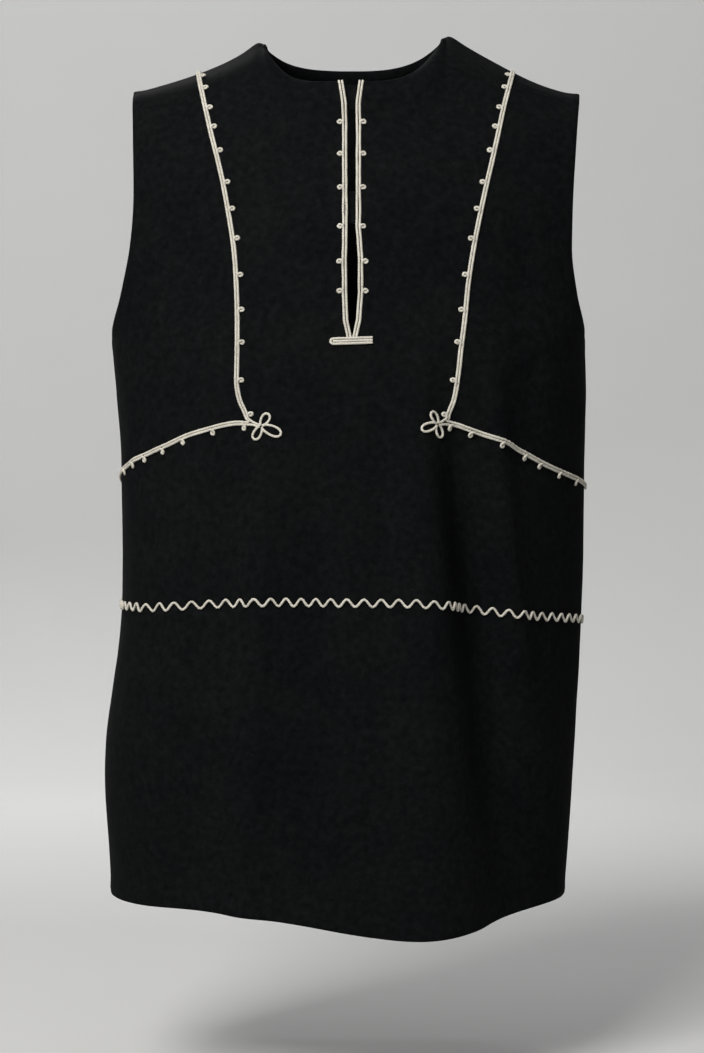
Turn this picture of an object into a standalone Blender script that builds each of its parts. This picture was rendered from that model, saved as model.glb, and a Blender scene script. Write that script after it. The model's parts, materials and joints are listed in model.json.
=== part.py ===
"""Sleeveless wool tunic vest with a slit neck and sewn cord ornament, hollow as if it is worn.

The front faces -Y and Z points up. The origin lies between the two shoulder seams at the neck.
Sizes in the tables are millimetres; MM turns them into Blender's metres.
"""

import math

import bmesh
import bpy
import numpy as np
from mathutils import Matrix, Vector
from mathutils.bvhtree import BVHTree

MM = 0.001

# Cloth
WALL = 2.4  # wool cloth, turned under at its edges
SEAM_GAP = 0.3
NECK_HALF_ARC = 66.0  # from the centre line to the column that ends at the neck point

# Cord
CORD_RADIUS = 0.95
CORD_GAP = 0.4  # between a cord and what it lies on or beside
PAIR_STEP = 2 * CORD_RADIUS + 0.3  # centre to centre of two cords sewn side by side
CORD_STEP = 5.5  # distance between the points of a plain cord
PICOT_RADIUS = 2.35
PICOT_OUT = 2.0  # centre of a picot from the centre of its cord
PICOT_DEPTH = 1.6
PICOT_SIDES = 6
ROUTE_STEP = 3.0  # distance between the places that a cord is led over
SLIT_CORD_TOP = 1.2  # from the neckline to the top of the slit's cords
SLIT_CORD_INSET = 0.1  # from the slit's edge to the cord along it
SEAM_CLEARANCE = 2.0  # between a cord's end and the side seam
CLEARING_PASSES = 3  # rounds of lifting a cord off the facets that it would cut
CHORD_PLACES = 5  # places along a stretch of cord that are measured against the facets
TURN_PLACES = 3  # places at a cross's start that the edge cord's turn takes over
PICOT_TOP_SHARE = 0.86  # width of a picot's top against its foot
WELD = 0.01  # points this close in a tube are one
SHARP_ANGLE = math.radians(50)

# How finely smooth lines are worked out before they are spaced evenly, and how far either side of a
# place the slope of the cloth is read
SECTION_SAMPLES, NECK_SAMPLES, ROUTE_SAMPLES = 240, 60, 200
SLOPE_REACH, SLIT_SLOPE_REACH = 4.0, 2.0
IN_FRONT_Y = -500.0  # where a line of sight to the front panel starts

# Level sections of the body from hem to yoke. edge_y is where a panel ends, which is the side seam
# up to the underarm and the armhole above it. round is 1 where the two panels make one closed ring
# and 0 where a panel only bows over the chest.
SECTION_COLUMNS = (
    "name", "z", "left_x", "right_x", "front_edge_y", "back_edge_y", "front_y", "back_y",
    "left_power", "right_power", "back_power", "round", "rows_above",
)
SECTION_ROWS = (
    ("hem", -628, -177, 157, 0, 0, -139, 120, 2.4, 1.9, 2.2, 1.0, 4),
    ("flare", -537, -181, 163.5, 0, 0, -136, 118, 2.6, 1.75, 2.2, 1.0, 5),
    ("wave", -415, -168.7, 170, 0, 0, -130, 114, 3.0, 1.62, 2.2, 1.0, 4),
    ("waist", -325, -168.7, 171.7, 0, 0, -126, 110, 2.8, 1.8, 2.2, 1.0, 3),
    ("bust", -262, -174, 172.4, 0, 0, -122, 107, 2.4, 2.1, 2.2, 1.0, 2),
    ("underarm", -224, -177, 171.4, 0, 0, -117, 105, 2.3, 2.3, 2.3, 1.0, 1),
    ("armhole_turn", -215, -175, 169.5, -25, 26, -116, 105, 2.3, 2.3, 2.3, 0.7, 2),
    ("armhole_low", -192, -168, 163.5, -43, 44, -112, 104, 2.3, 2.3, 2.3, 0.35, 2),
    ("armhole_mid", -158, -160.5, 159, -54, 55, -104, 102, 2.3, 2.3, 2.3, 0.1, 2),
    ("armhole_high", -118, -157.5, 159.8, -57, 58, -92, 98, 2.4, 2.4, 2.4, 0.0, 3),
    ("yoke", -73, -159, 163.5, -44, 46, -75, 86, 2.6, 2.6, 2.6, 0.0, 2),
)
CROWN_ROWS = 2  # rows between the crown line and the shoulder seam
CROWN_RISE = (15.0, 8.0)  # how far the cloth bows out over the shoulder, at the neck and at the tip
CROWN_FORWARD, CROWN_UP = 0.8, 0.6  # the direction in which it bows
CROWN_CENTRE_SHARE = 0.1  # share of the rise at the neck that the centre line has
CROWN_Z, SEAM_Z = -45.0, -15.0  # heights that space the rows of the crown and the shoulder seam
UNDERARM = 5  # the section level with the slit's base
SLIT_BASE_Z = -228.0  # the underarm line dips to it at the centre front
SLIT_DIP_X, SLIT_DIP_Z = 60.0, 30.0  # how far across and up that dip spreads

# Hem: the front hangs lower towards the wearer's left
HEM_DROP = 18.0
HEM_DROP_X = 45.0
HEM_DROP_SPREAD = 85.0

# Shoulders and neck. bow is the share of its drop by which a shoulder seam hangs below a straight
# line, most of it near the neck where bow_power is low. neck_power is how square the neckline is.
SHOULDER_COLUMNS = ("side", "neck_x", "neck_z", "tip_x", "tip_z", "bow", "bow_power", "neck_power")
SHOULDER_ROWS = (
    ("left", -66.5, -1.0, -162.0, -39.0, 0.12, 0.8, 4.6),
    ("right", 68.5, 3.3, 168.7, -40.5, 0.11, 1.6, 3.6),
)
NECK_PLAN_POWER = 2.0
FRONT_NECK = (-68.0, -41.0)  # y and z of the neckline at the centre front
BACK_NECK = (58.0, -13.0)

# Slit: half widths either side of the centre line
SLIT_COLUMNS = ("z", "left", "right")
SLIT_ROWS = (
    (SLIT_BASE_Z, 0.0, 0.0),
    (-216, 2.4, 2.5),
    (-196, 3.2, 3.9),
    (-172, 3.3, 3.9),
    (-150, 2.9, 2.4),
    (-75, 3.1, 2.5),
    (-58, 3.8, 2.6),
    (-41, 6.2, 4.6),
)

# Soft folds: the line that each follows down the cloth, its half width and its height, which is
# negative for a valley
FOLD_COLUMNS = (
    "panel", "top_z", "top_x", "mid_z", "mid_x", "hem_x", "mid_width", "hem_width",
    "mid_height", "hem_height",
)
FOLD_ROWS = (
    ("front", -215, 44, -415, 52, 60, 38, 48, 14, 13),
    ("front", -225, 62, -415, 87, 122, 27, 44, -17, -17),
    ("front", -200, 96, -340, 106, 134, 18, 22, 6, 0),
    ("front", -240, -72, -400, -98, -114, 30, 40, -7, -8),
    ("front", -250, -50, -420, -66, -74, 18, 24, 4, 5),
    ("front", -280, -26, -370, -28, -30, 20, 22, -3, 0),
    ("back", -150, -70, -420, -86, -96, 40, 52, 7, 10),
    ("back", -170, 0, -420, 4, 8, 44, 56, -6, -9),
    ("back", -150, 74, -420, 88, 100, 38, 50, 8, 11),
)
HEM_LINE_Z = -640.0
FOLD_TOP_WIDTH = 0.55  # share of its middle width that a fold has at its top
FOLD_FADE_POWER = 6  # how late folds fade out towards a panel's edge

# Columns of cells in half a panel: under the neckline and under the shoulder
FRONT_COLUMNS = (6, 13)
BACK_COLUMNS = (4, 7)

# Closure tabs behind the slit
TAB_COLUMNS = ("name", "top_z", "bottom_z")
TAB_ROWS = (("closure_tab_top", -43.0, -62.5), ("closure_tab_lower", -122.0, -146.0))
TAB_HALF_WIDTH = 12.0
TAB_INNER_HALF = 6.6
TAB_WALL = 1.2
TAB_LEVELS = 4  # rows of points from a tab's foot to its top
TAB_GAP = 0.9  # to the cloth that it is sewn behind

# Cord routes, each point as x and z of the cloth seen from the front. An upright runs down from the
# shoulder seam, and a cross runs out to the side seam, which it meets at cross_end_z.
BOLERO_ROWS = {
    "left": {
        "upright": (
            (-113.3, -25), (-106.7, -53), (-100.6, -79), (-93.7, -106), (-87.3, -137.5), (-82.8, -166),
            (-80.5, -200), (-80, -234), (-80.3, -258), (-78.4, -271), (-74, -281),
        ),
        "turn": (-74.0, -285.6),
        "knot": (-62.8, -290.2),
        "cross": (
            (-71.5, -288.2), (-79.6, -288), (-90, -289.4), (-102, -292.6), (-116.6, -297),
            (-131.4, -303.5), (-143.8, -308.4), (-155, -313), (-163, -318),
        ),
        "cross_end_z": -327.0,
        "cross_picot_x": (-75.7, -97.6, -118.6, -133.1, -147.0, -155.4, -162.5),
        "petals": ((58, 8.4, 4.6), (-26, 10.6, 6.0), (-122, 7.8, 4.6)),
    },
    "right": {
        "upright": (
            (118.3, -25), (110.2, -53.5), (102.6, -86.6), (95.9, -115), (90.7, -137.7), (85.8, -162),
            (81.5, -188.6), (78.8, -214.5), (75.9, -236.3), (73.8, -255.2), (71, -271.2), (67, -281),
        ),
        "turn": (66.5, -285.4),
        "knot": (58.9, -288.5),
        "cross": (
            (63.4, -287.7), (71.6, -288.4), (83.4, -292.3), (96.3, -296.7), (111.4, -302.3),
            (124.9, -309.4), (138.6, -316.2), (155.2, -322.5), (163.8, -325.6),
        ),
        "cross_end_z": -331.0,
        "cross_picot_x": (67.0, 83.8, 105.6, 122.3, 133.6, 148.5, 162.0),
        "petals": ((113, 8.4, 4.2), (203, 10.6, 5.8), (-76, 7.8, 4.2)),
    },
}
KNOT_RADIUS = 0.88
KNOT_START = 0.4  # from the knot to the start of a petal
KNOT_ENTRY, KNOT_EXIT = (0.3, 1.1), (1.1, -1.2)  # inward and up from the knot to the cords' ends there
PETAL_POINTS = 12
UPRIGHT_PICOT_Z = (-32, -44, -60, -75, -93, -116.5, -136, -157.5, -183.6, -208.5, -231.5, -258, -280.5)
SLIT_PICOT_Z = (-72, -96, -121, -149.5, -174.6, -195.6)

# Wavy cord round the front, from side seam to side seam
WAVE_PITCH = 12.3
WAVE_HEIGHT = 5.2
WAVE_SAMPLES = 6
WAVE_LINE_COLUMNS = ("distance", "z")
WAVE_LINE_ROWS = (
    (-250, -416), (-155, -417.4), (-100, -414), (-60, -412.5), (45, -413.5), (75, -415.5), (112, -418.5),
    (135, -421), (165, -424), (245, -428.5),
)

# Bar at the foot of the slit
BAR_CENTRE = (-0.5, -230.8)
BAR_LENGTH = 31.0
BAR_HEIGHT = 5.6
BAR_TILT = math.radians(1.8)
BAR_ROUNDING = 0.8
BAR_GAP = 0.55
BAR_REACH = 12.0  # spacing of the places that give its slope

MATERIAL_COLUMNS = ("name", "colour", "roughness")
MATERIAL_ROWS = (
    ("black_wool", (0.011, 0.012, 0.013), 0.95),
    ("ecru_cord", (0.56, 0.50, 0.40), 0.8),
)


def table(columns, rows):
    return [dict(zip(columns, row)) for row in rows]


SECTIONS = table(SECTION_COLUMNS, SECTION_ROWS)
SHOULDERS = {row["side"]: row for row in table(SHOULDER_COLUMNS, SHOULDER_ROWS)}
SLIT = table(SLIT_COLUMNS, SLIT_ROWS)
FOLDS = table(FOLD_COLUMNS, FOLD_ROWS)
SIDES = {"left": -1.0, "right": 1.0}
SLIT_BASE_ROW = sum(section["rows_above"] for section in SECTIONS[:UNDERARM])


# Scene and materials


def clear_scene():
    for obj in list(bpy.data.objects):
        bpy.data.objects.remove(obj)


def make_collection(name):
    collection = bpy.data.collections.new(name)
    bpy.context.scene.collection.children.link(collection)
    return collection


def make_materials():
    made = {}
    for row in table(MATERIAL_COLUMNS, MATERIAL_ROWS):
        material = bpy.data.materials.new(row["name"])
        material.use_nodes = True
        shader = material.node_tree.nodes["Principled BSDF"]
        shader.inputs["Base Color"].default_value = (*row["colour"], 1.0)
        shader.inputs["Roughness"].default_value = row["roughness"]
        shader.inputs["Metallic"].default_value = 0.0
        made[row["name"]] = material
    return made


# Curves as lists of points


def resample(points, distances):
    """Points at these distances along a polyline."""
    points = np.asarray(points, float)
    steps = np.linalg.norm(np.diff(points, axis=0), axis=1)
    along = np.concatenate([[0.0], np.cumsum(steps)])
    return np.column_stack([np.interp(distances, along, points[:, k]) for k in range(points.shape[1])])


def length_of(points):
    return float(np.linalg.norm(np.diff(np.asarray(points, float), axis=0), axis=1).sum())


def smooth_curve(knots, stations, wanted):
    """A cubic through the knots that doesn't swing past them, read at the wanted stations."""
    knots = np.asarray(knots, float)
    stations = np.asarray(stations, float)
    rises = np.diff(knots, axis=0) / np.diff(stations)[:, None]
    mean = (knots[2:] - knots[:-2]) / (stations[2:] - stations[:-2])[:, None]
    limit = 3 * np.minimum(abs(rises[1:]), abs(rises[:-1]))
    inside = np.where(rises[1:] * rises[:-1] > 0, np.clip(mean, -limit, limit), 0.0)
    slopes = np.concatenate([rises[:1], inside, rises[-1:]])
    found = []
    for station in wanted:
        k = int(np.clip(np.searchsorted(stations, station, side="right") - 1, 0, len(stations) - 2))
        span = stations[k + 1] - stations[k]
        t = (station - stations[k]) / span
        found.append(
            (2 * t**3 - 3 * t**2 + 1) * knots[k]
            + (t**3 - 2 * t**2 + t) * span * slopes[k]
            + (3 * t**2 - 2 * t**3) * knots[k + 1]
            + (t**3 - t**2) * span * slopes[k + 1]
        )
    return np.array(found)


def smooth_route(knots, step):
    """Evenly spaced points on a smooth curve through a route's knots."""
    knots = np.asarray(knots, float)
    stations = np.concatenate([[0.0], np.cumsum(np.linalg.norm(np.diff(knots, axis=0), axis=1))])
    dense = smooth_curve(knots, stations, np.linspace(0, stations[-1], ROUTE_SAMPLES))
    total = length_of(dense)
    return resample(dense, np.linspace(0, total, max(2, round(total / step) + 1)))


def beside(route, distance):
    """The route moved sideways on the cloth, to the left of its direction where distance is positive."""
    ahead = np.gradient(route, axis=0)
    ahead /= np.linalg.norm(ahead, axis=1)[:, None]
    return route + distance * np.column_stack([-ahead[:, 1], ahead[:, 0]])


# Cloth panels


def section_half(section, panel, side, columns):
    """Half of a level section, from the centre line out to the panel's edge."""
    reach = abs(section[f"{side}_x"])
    power = section["back_power" if panel == "back" else f"{side}_power"]
    edge_y = section[f"{panel}_edge_y"]
    middle_y = section[f"{panel}_y"]
    bend = section["round"] / power + (1 - section["round"])
    share = np.sin(np.linspace(0, math.pi / 2, SECTION_SAMPLES))
    bow = (1 - share**power).clip(0) ** bend
    outline = np.column_stack([SIDES[side] * reach * share, edge_y + (middle_y - edge_y) * bow])
    total = length_of(outline)
    neck_columns, shoulder_columns = columns
    inner = NECK_HALF_ARC * np.arange(neck_columns) / neck_columns
    outer = np.linspace(NECK_HALF_ARC, total, shoulder_columns + 1)
    flat = resample(outline, np.concatenate([inner, outer]))
    return np.column_stack([flat, np.full(len(flat), section["z"])])


def top_half(panel, side, columns):
    """The panel's top edge: the neckline from the centre out, then the shoulder seam."""
    shoulder = SHOULDERS[side]
    neck_y, neck_z = FRONT_NECK if panel == "front" else BACK_NECK
    out = np.sin(np.linspace(0, math.pi / 2, NECK_SAMPLES))
    neckline = np.column_stack([
        shoulder["neck_x"] * out,
        neck_y * (1 - out**NECK_PLAN_POWER) ** (1 / NECK_PLAN_POWER),
        shoulder["neck_z"] + (neck_z - shoulder["neck_z"]) * (1 - out ** shoulder["neck_power"]),
    ])
    neck_columns, shoulder_columns = columns
    neck = resample(neckline, np.linspace(0, length_of(neckline), neck_columns + 1))
    share = np.linspace(0, 1, shoulder_columns + 1)[1:]
    drop = share + shoulder["bow"] * np.sin(math.pi * share ** shoulder["bow_power"])
    seam = np.column_stack([
        shoulder["neck_x"] + (shoulder["tip_x"] - shoulder["neck_x"]) * share,
        np.zeros(len(share)),
        shoulder["neck_z"] + (shoulder["tip_z"] - shoulder["neck_z"]) * drop,
    ])
    return np.concatenate([neck, seam])


def crown_half(yoke, top, panel, columns):
    """A line half way from the yoke to the top edge, bowed out over the shoulder."""
    neck_columns, shoulder_columns = columns
    at_neck, at_tip = CROWN_RISE
    rise = np.concatenate([
        np.linspace(CROWN_CENTRE_SHARE, 1, neck_columns) * at_neck,
        np.linspace(at_neck, at_tip, shoulder_columns + 1),
    ])
    forward = -1.0 if panel == "front" else 1.0
    return (yoke + top) / 2 + rise[:, None] * np.array([0.0, CROWN_FORWARD * forward, CROWN_UP])


def fold_height(fold, x, z):
    """How far one fold moves a point of the cloth outwards."""
    top, middle = fold["top_z"], fold["mid_z"]
    if z >= top:
        return 0.0
    if z >= middle:
        share = (top - z) / (top - middle)
        centre = fold["top_x"] + (fold["mid_x"] - fold["top_x"]) * share
        width = fold["mid_width"] * (FOLD_TOP_WIDTH + (1 - FOLD_TOP_WIDTH) * share)
        height = fold["mid_height"] * share * share * (3 - 2 * share)
    else:
        share = (middle - z) / (middle - HEM_LINE_Z)
        centre = fold["mid_x"] + (fold["hem_x"] - fold["mid_x"]) * share
        width = fold["mid_width"] + (fold["hem_width"] - fold["mid_width"]) * share
        height = fold["mid_height"] + (fold["hem_height"] - fold["mid_height"]) * share
    away = abs(x - centre) / width
    return height * 0.5 * (1 + math.cos(math.pi * away)) if away < 1 else 0.0


def add_folds(half, panel):
    """Moves a half panel's points out or in along the level normal, and not at its edge."""
    folds = [fold for fold in FOLDS if fold["panel"] == panel]
    tangent = np.gradient(half[:, :, :2], axis=1)
    tangent /= np.linalg.norm(tangent, axis=2)[:, :, None]
    outward = np.dstack([tangent[:, :, 1], -tangent[:, :, 0]])
    outward *= np.sign((outward * half[:, :, :2]).sum(axis=2))[:, :, None]
    columns = half.shape[1]
    fade = 1 - (np.arange(columns) / (columns - 1)) ** FOLD_FADE_POWER
    moved = half.copy()
    for row in range(half.shape[0]):
        for column in range(columns):
            x, _, z = half[row, column]
            height = sum(fold_height(fold, x, z) for fold in folds) * fade[column]
            moved[row, column, :2] += outward[row, column] * height
    return moved


def panel_half(panel, side, columns):
    """Rows of points from hem to top edge, each from the centre line out to the panel's edge."""
    knots = [section_half(section, panel, side, columns) for section in SECTIONS]
    top = top_half(panel, side, columns)
    knots += [crown_half(knots[-1], top, panel, columns), top]
    knots = np.array(knots)
    spans = [section["rows_above"] for section in SECTIONS] + [CROWN_ROWS]
    stations = np.array([section["z"] for section in SECTIONS] + [CROWN_Z, SEAM_Z])
    wanted = [stations[0]]
    for k, rows in enumerate(spans):
        wanted += list(np.linspace(stations[k], stations[k + 1], rows + 1)[1:])
    shape = knots.shape
    half = smooth_curve(knots.reshape(shape[0], -1), stations, wanted).reshape(-1, *shape[1:])
    half = add_folds(half, panel)
    if panel == "front":
        lower_hem(half)
        open_slit(half, side)
    half[:, :, 1] += SEAM_GAP / 2 * (-1.0 if panel == "front" else 1.0)
    return half


def lower_hem(half):
    """The front hem's dip, and the underarm line's dip to the slit's base."""
    hem, underarm = SECTIONS[0]["z"], SECTIONS[UNDERARM]["z"]
    depth = half[:, :, 2]
    hem_share = ((underarm - depth) / (underarm - hem)).clip(0, 1) ** 2
    lowering = HEM_DROP * np.exp(-(((half[:, :, 0] - HEM_DROP_X) / HEM_DROP_SPREAD) ** 2))
    near_slit = np.exp(-((half[:, :, 0] / SLIT_DIP_X) ** 2) - ((depth - underarm) / SLIT_DIP_Z) ** 2)
    half[:, :, 2] += (SLIT_BASE_Z - underarm) * near_slit - hem_share * lowering


def slit_half_width(side, z):
    return float(np.interp(z, [row["z"] for row in SLIT], [row[side] for row in SLIT]))


def open_slit(half, side):
    """Moves the centre column off the centre line above the slit's base."""
    for row in range(SLIT_BASE_ROW + 1, half.shape[0]):
        half[row, 0, 0] = SIDES[side] * slit_half_width(side, half[row, 0, 2])


def point_normals(grid_points, triangles):
    """Area-weighted normals of a mesh's points."""
    corners = grid_points[triangles]
    faces = np.cross(corners[:, 1] - corners[:, 0], corners[:, 2] - corners[:, 0])
    normals = np.zeros_like(grid_points)
    for k in range(3):
        np.add.at(normals, triangles[:, k], faces)
    return normals / np.linalg.norm(normals, axis=1)[:, None]


class Panel:
    """A cloth panel's outer surface: two half grids that share a centre column below any slit."""

    def __init__(self, name, columns):
        self.name = name
        self.halves = {side: panel_half(name, side, columns) for side in SIDES}
        self.index = {}
        self.points = []
        rows, across, _ = self.halves["left"].shape
        for side, half in self.halves.items():
            index = np.zeros((rows, across), int)
            for row in range(rows):
                for column in range(across):
                    shared = side == "right" and column == 0 and (name == "back" or row <= SLIT_BASE_ROW)
                    if shared:
                        index[row, column] = self.index["left"][row, 0]
                        continue
                    index[row, column] = len(self.points)
                    self.points.append(half[row, column])
            self.index[side] = index
        self.points = np.array(self.points)
        first_normals = point_normals(self.points, self.make_triangles(None))
        self.triangles = self.make_triangles(first_normals)
        self.normals = self.seam_normals(point_normals(self.points, self.triangles))
        self.tree = BVHTree.FromPolygons(self.points.tolist(), self.triangles.tolist())

    def make_triangles(self, normals):
        """Two triangles a cell that face out, split along the diagonal that bends less."""
        found = []
        faces_out = 1 if self.name == "front" else -1
        for side, index in self.index.items():
            for row in range(index.shape[0] - 1):
                for column in range(index.shape[1] - 1):
                    a, b = index[row, column], index[row, column + 1]
                    c, d = index[row + 1, column + 1], index[row + 1, column]
                    if normals is None or normals[a] @ normals[c] > normals[b] @ normals[d]:
                        pair = [(a, b, c), (a, c, d)]
                    else:
                        pair = [(a, b, d), (b, c, d)]
                    if SIDES[side] * faces_out < 0:
                        pair = [corners[::-1] for corners in pair]
                    found += pair
        return np.array(found)

    def seam_normals(self, normals):
        """Level with the seam's plane along the side and shoulder seams, so that the walls meet flat."""
        neck_columns = {"front": FRONT_COLUMNS, "back": BACK_COLUMNS}[self.name][0]
        for index in self.index.values():
            side_seam = index[: SLIT_BASE_ROW + 1, -1]
            shoulder_seam = index[-1, neck_columns:]
            for point in np.concatenate([side_seam, shoulder_seam]):
                normals[point, 1] = 0.0
                normals[point] /= np.linalg.norm(normals[point])
        return normals

    def rim(self):
        """The point numbers round the panel's edge, in order."""
        left, right = self.index["left"], self.index["right"]
        around = list(left[0, ::-1]) + list(right[0, 1:])
        around += list(right[1:, -1]) + list(right[-1, :-1][::-1])
        if self.name == "front":
            around += list(right[SLIT_BASE_ROW : -1, 0][::-1]) + list(left[SLIT_BASE_ROW + 1 :, 0])
        around += list(left[-1, 1:]) + list(left[1:-1, -1][::-1])
        return around

    def level(self, side, z):
        """The half panel's points at one height, from the centre line out."""
        half = self.halves[side]
        below = (half[:, :, 2] < z).sum(axis=0).clip(1, half.shape[0] - 1)
        columns = np.arange(half.shape[1])
        low, high = half[below - 1, columns], half[below, columns]
        share = (z - low[:, 2]) / (high[:, 2] - low[:, 2])
        return low + (high - low) * share[:, None]

    def edge_distance(self, side, z):
        """How far the panel's edge is from the centre line, along the cloth."""
        line = self.level(side, z)
        return abs(line[0, 0]) + length_of(line)

    def at(self, distance, z):
        """The point of the cloth this far from the centre line and at this height."""
        side = "left" if distance < 0 else "right"
        line = self.level(side, z)
        along = abs(distance) - abs(line[0, 0])
        return resample(line, [max(along, 0.0)])[0]

    def around(self, distance, z, reach=SLOPE_REACH):
        """Point and outward normal at a distance from the centre line along the cloth, and a height."""
        across = self.at(distance + reach, z) - self.at(distance - reach, z)
        up = self.at(distance, z + reach) - self.at(distance, z - reach)
        normal = np.cross(across, up)
        return self.at(distance, z), normal / np.linalg.norm(normal)

    def facing(self, x, z, reach=SLOPE_REACH):
        """Point and outward normal where the cloth is seen at x and z from the front."""
        found = []
        for dx, dz in ((0, 0), (-reach, 0), (reach, 0), (0, -reach), (0, reach)):
            point, normal, _, _ = self.tree.ray_cast((x + dx, IN_FRONT_Y, z + dz), (0.0, 1.0, 0.0))
            if point is not None:
                found.append((np.array(point), np.array(normal)))
        normal = sum(normal for _, normal in found)
        return found[0][0], normal / np.linalg.norm(normal)

    def distance_of(self, x, z):
        """How far the cloth at x and z is from the centre line, along the cloth and with its sign."""
        side = "left" if x < 0 else "right"
        line = self.level(side, z)
        along = np.concatenate([[0.0], np.cumsum(np.linalg.norm(np.diff(line, axis=0), axis=1))])
        return math.copysign(float(np.interp(abs(x), abs(line[:, 0]), abs(line[0, 0]) + along)), x)

    def away_from(self, point):
        """The outward direction at the facet nearest to a point."""
        return np.array(self.tree.find_nearest(point)[1])

    def shortfall(self, points, height):
        """How far the lowest of these points is from being this high above the flat facets."""
        lowest = min(self.tree.find_nearest(point)[3] for point in points)
        return max(0.0, height - lowest)


def mesh_object(name, points, faces, material, collection):
    mesh = bpy.data.meshes.new(name)
    mesh.from_pydata((np.asarray(points) * MM).tolist(), [], np.asarray(faces).tolist())
    mesh.validate()
    obj = bpy.data.objects.new(name, mesh)
    collection.objects.link(obj)
    obj.data.materials.append(material)
    turn_faces_out(mesh)
    return obj


def turn_faces_out(mesh):
    work = bmesh.new()
    work.from_mesh(mesh)
    bmesh.ops.recalc_face_normals(work, faces=work.faces)
    work.to_mesh(mesh)
    work.free()


def lifted(place, height):
    """A point this high above a place on the cloth, or below it where height is negative."""
    point, normal = place
    return point + normal * height


def make_wall(name, points, normals, triangles, rim, thickness, material, collection):
    """A closed wall: the outer surface, the same surface moved in, and a band round the edge."""
    count = len(points)
    inner = points - normals * thickness
    faces = list(triangles) + [tuple(int(k) + count for k in face[::-1]) for face in triangles]
    for a, b in zip(rim, rim[1:] + rim[:1]):
        faces += [(b, a, a + count), (b, a + count, b + count)]
    obj = mesh_object(name, np.concatenate([points, inner]), faces, material, collection)
    obj.data.shade_smooth()
    obj.data.set_sharp_from_angle(angle=SHARP_ANGLE)
    return obj


def make_panel(panel, name, material, collection):
    rim = [int(k) for k in panel.rim()]
    return make_wall(name, panel.points, panel.normals, panel.triangles, rim, WALL, material, collection)


def make_tab(front, row, material, collection):
    """A small cloth tab that bridges the slit behind the front panel."""
    heights = np.linspace(row["bottom_z"], row["top_z"], TAB_LEVELS)
    across = (-TAB_HALF_WIDTH, -TAB_INNER_HALF, TAB_INNER_HALF, TAB_HALF_WIDTH)
    depth = WALL + TAB_GAP
    points = np.array([lifted(front.around(x, z), -depth) for z in heights for x in across])
    wide = len(across)
    triangles = []
    for k in range(len(heights) - 1):
        for j in range(wide - 1):
            a = k * wide + j
            triangles += [(a, a + 1, a + wide + 1), (a, a + wide + 1, a + wide)]
    triangles = np.array(triangles)
    last = len(points) - wide
    rim = list(range(wide)) + [wide * k - 1 for k in range(2, len(heights) + 1)]
    rim += list(range(last + wide - 2, last - 1, -1)) + [wide * k for k in range(len(heights) - 2, 0, -1)]
    normals = point_normals(points, triangles)
    return make_wall(row["name"], points, normals, triangles, rim, TAB_WALL, material, collection)


# Cords


def tube(name, points, radius, closed, collection):
    """A round cord as a curve with a bevel, made a mesh so that it can be joined to others."""
    curve = bpy.data.curves.new(name, "CURVE")
    curve.dimensions = "3D"
    curve.bevel_depth = radius * MM
    curve.bevel_resolution = 0
    curve.use_fill_caps = not closed
    spline = curve.splines.new("POLY")
    spline.points.add(len(points) - 1)
    for slot, point in zip(spline.points, points):
        slot.co = (*(float(c) * MM for c in point), 1.0)
    spline.use_cyclic_u = closed
    guide = bpy.data.objects.new(name + "_guide", curve)
    bpy.context.scene.collection.objects.link(guide)
    graph = bpy.context.evaluated_depsgraph_get()
    mesh = bpy.data.meshes.new_from_object(guide.evaluated_get(graph))
    bpy.data.objects.remove(guide)
    work = bmesh.new()
    work.from_mesh(mesh)
    bmesh.ops.remove_doubles(work, verts=work.verts, dist=WELD * MM)
    bmesh.ops.recalc_face_normals(work, faces=work.faces)
    work.to_mesh(mesh)
    work.free()
    obj = bpy.data.objects.new(name, mesh)
    collection.objects.link(obj)
    return obj


def clear_facets(front, points, height, closed=False):
    """Lifts a cord's points until its straight stretches clear the cloth's flat facets."""
    points = np.array(points)
    ends = list(range(1, len(points))) + ([0] if closed else [])
    for _ in range(CLEARING_PASSES):
        for k, end in enumerate(ends):
            stretch = np.linspace(points[k], points[end], CHORD_PLACES)
            missing = front.shortfall(stretch, height)
            if missing > 0:
                away = front.away_from(stretch[CHORD_PLACES // 2])
                points[k] += away * missing
                points[end] += away * missing
    return points


def lay_cord(front, places, step):
    """Cord centre points over these places on the cloth, evenly spaced."""
    height = CORD_GAP + CORD_RADIUS
    above = [lifted(place, height) for place in places]
    total = length_of(above)
    points = resample(above, np.linspace(0, total, max(2, round(total / step) + 1)))
    return clear_facets(front, points, height)


def picots(name, front, places, collection):
    """Small round picots, each a short disc that lies flat on the cloth."""
    work = bmesh.new()
    for place in places:
        normal = place[1]
        centre = lifted(place, CORD_GAP + CORD_RADIUS)
        turn = Vector((0, 0, 1)).rotation_difference(Vector(normal)).to_matrix()
        under = Vector(centre - normal * PICOT_DEPTH / 2)
        rim = [
            under + turn @ Vector((math.cos(a), math.sin(a), 0)) * PICOT_RADIUS
            for a in np.linspace(0, 2 * math.pi, PICOT_SIDES + 1)
        ]
        centre = centre + normal * front.shortfall(rim, CORD_GAP)
        matrix = Matrix.Translation(Vector(centre) * MM) @ turn.to_4x4()
        bmesh.ops.create_cone(
            work, cap_ends=True, segments=PICOT_SIDES, radius1=PICOT_RADIUS * MM,
            radius2=PICOT_RADIUS * PICOT_TOP_SHARE * MM, depth=PICOT_DEPTH * MM, matrix=matrix,
        )
    mesh = bpy.data.meshes.new(name)
    work.to_mesh(mesh)
    work.free()
    obj = bpy.data.objects.new(name, mesh)
    collection.objects.link(obj)
    return obj


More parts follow.
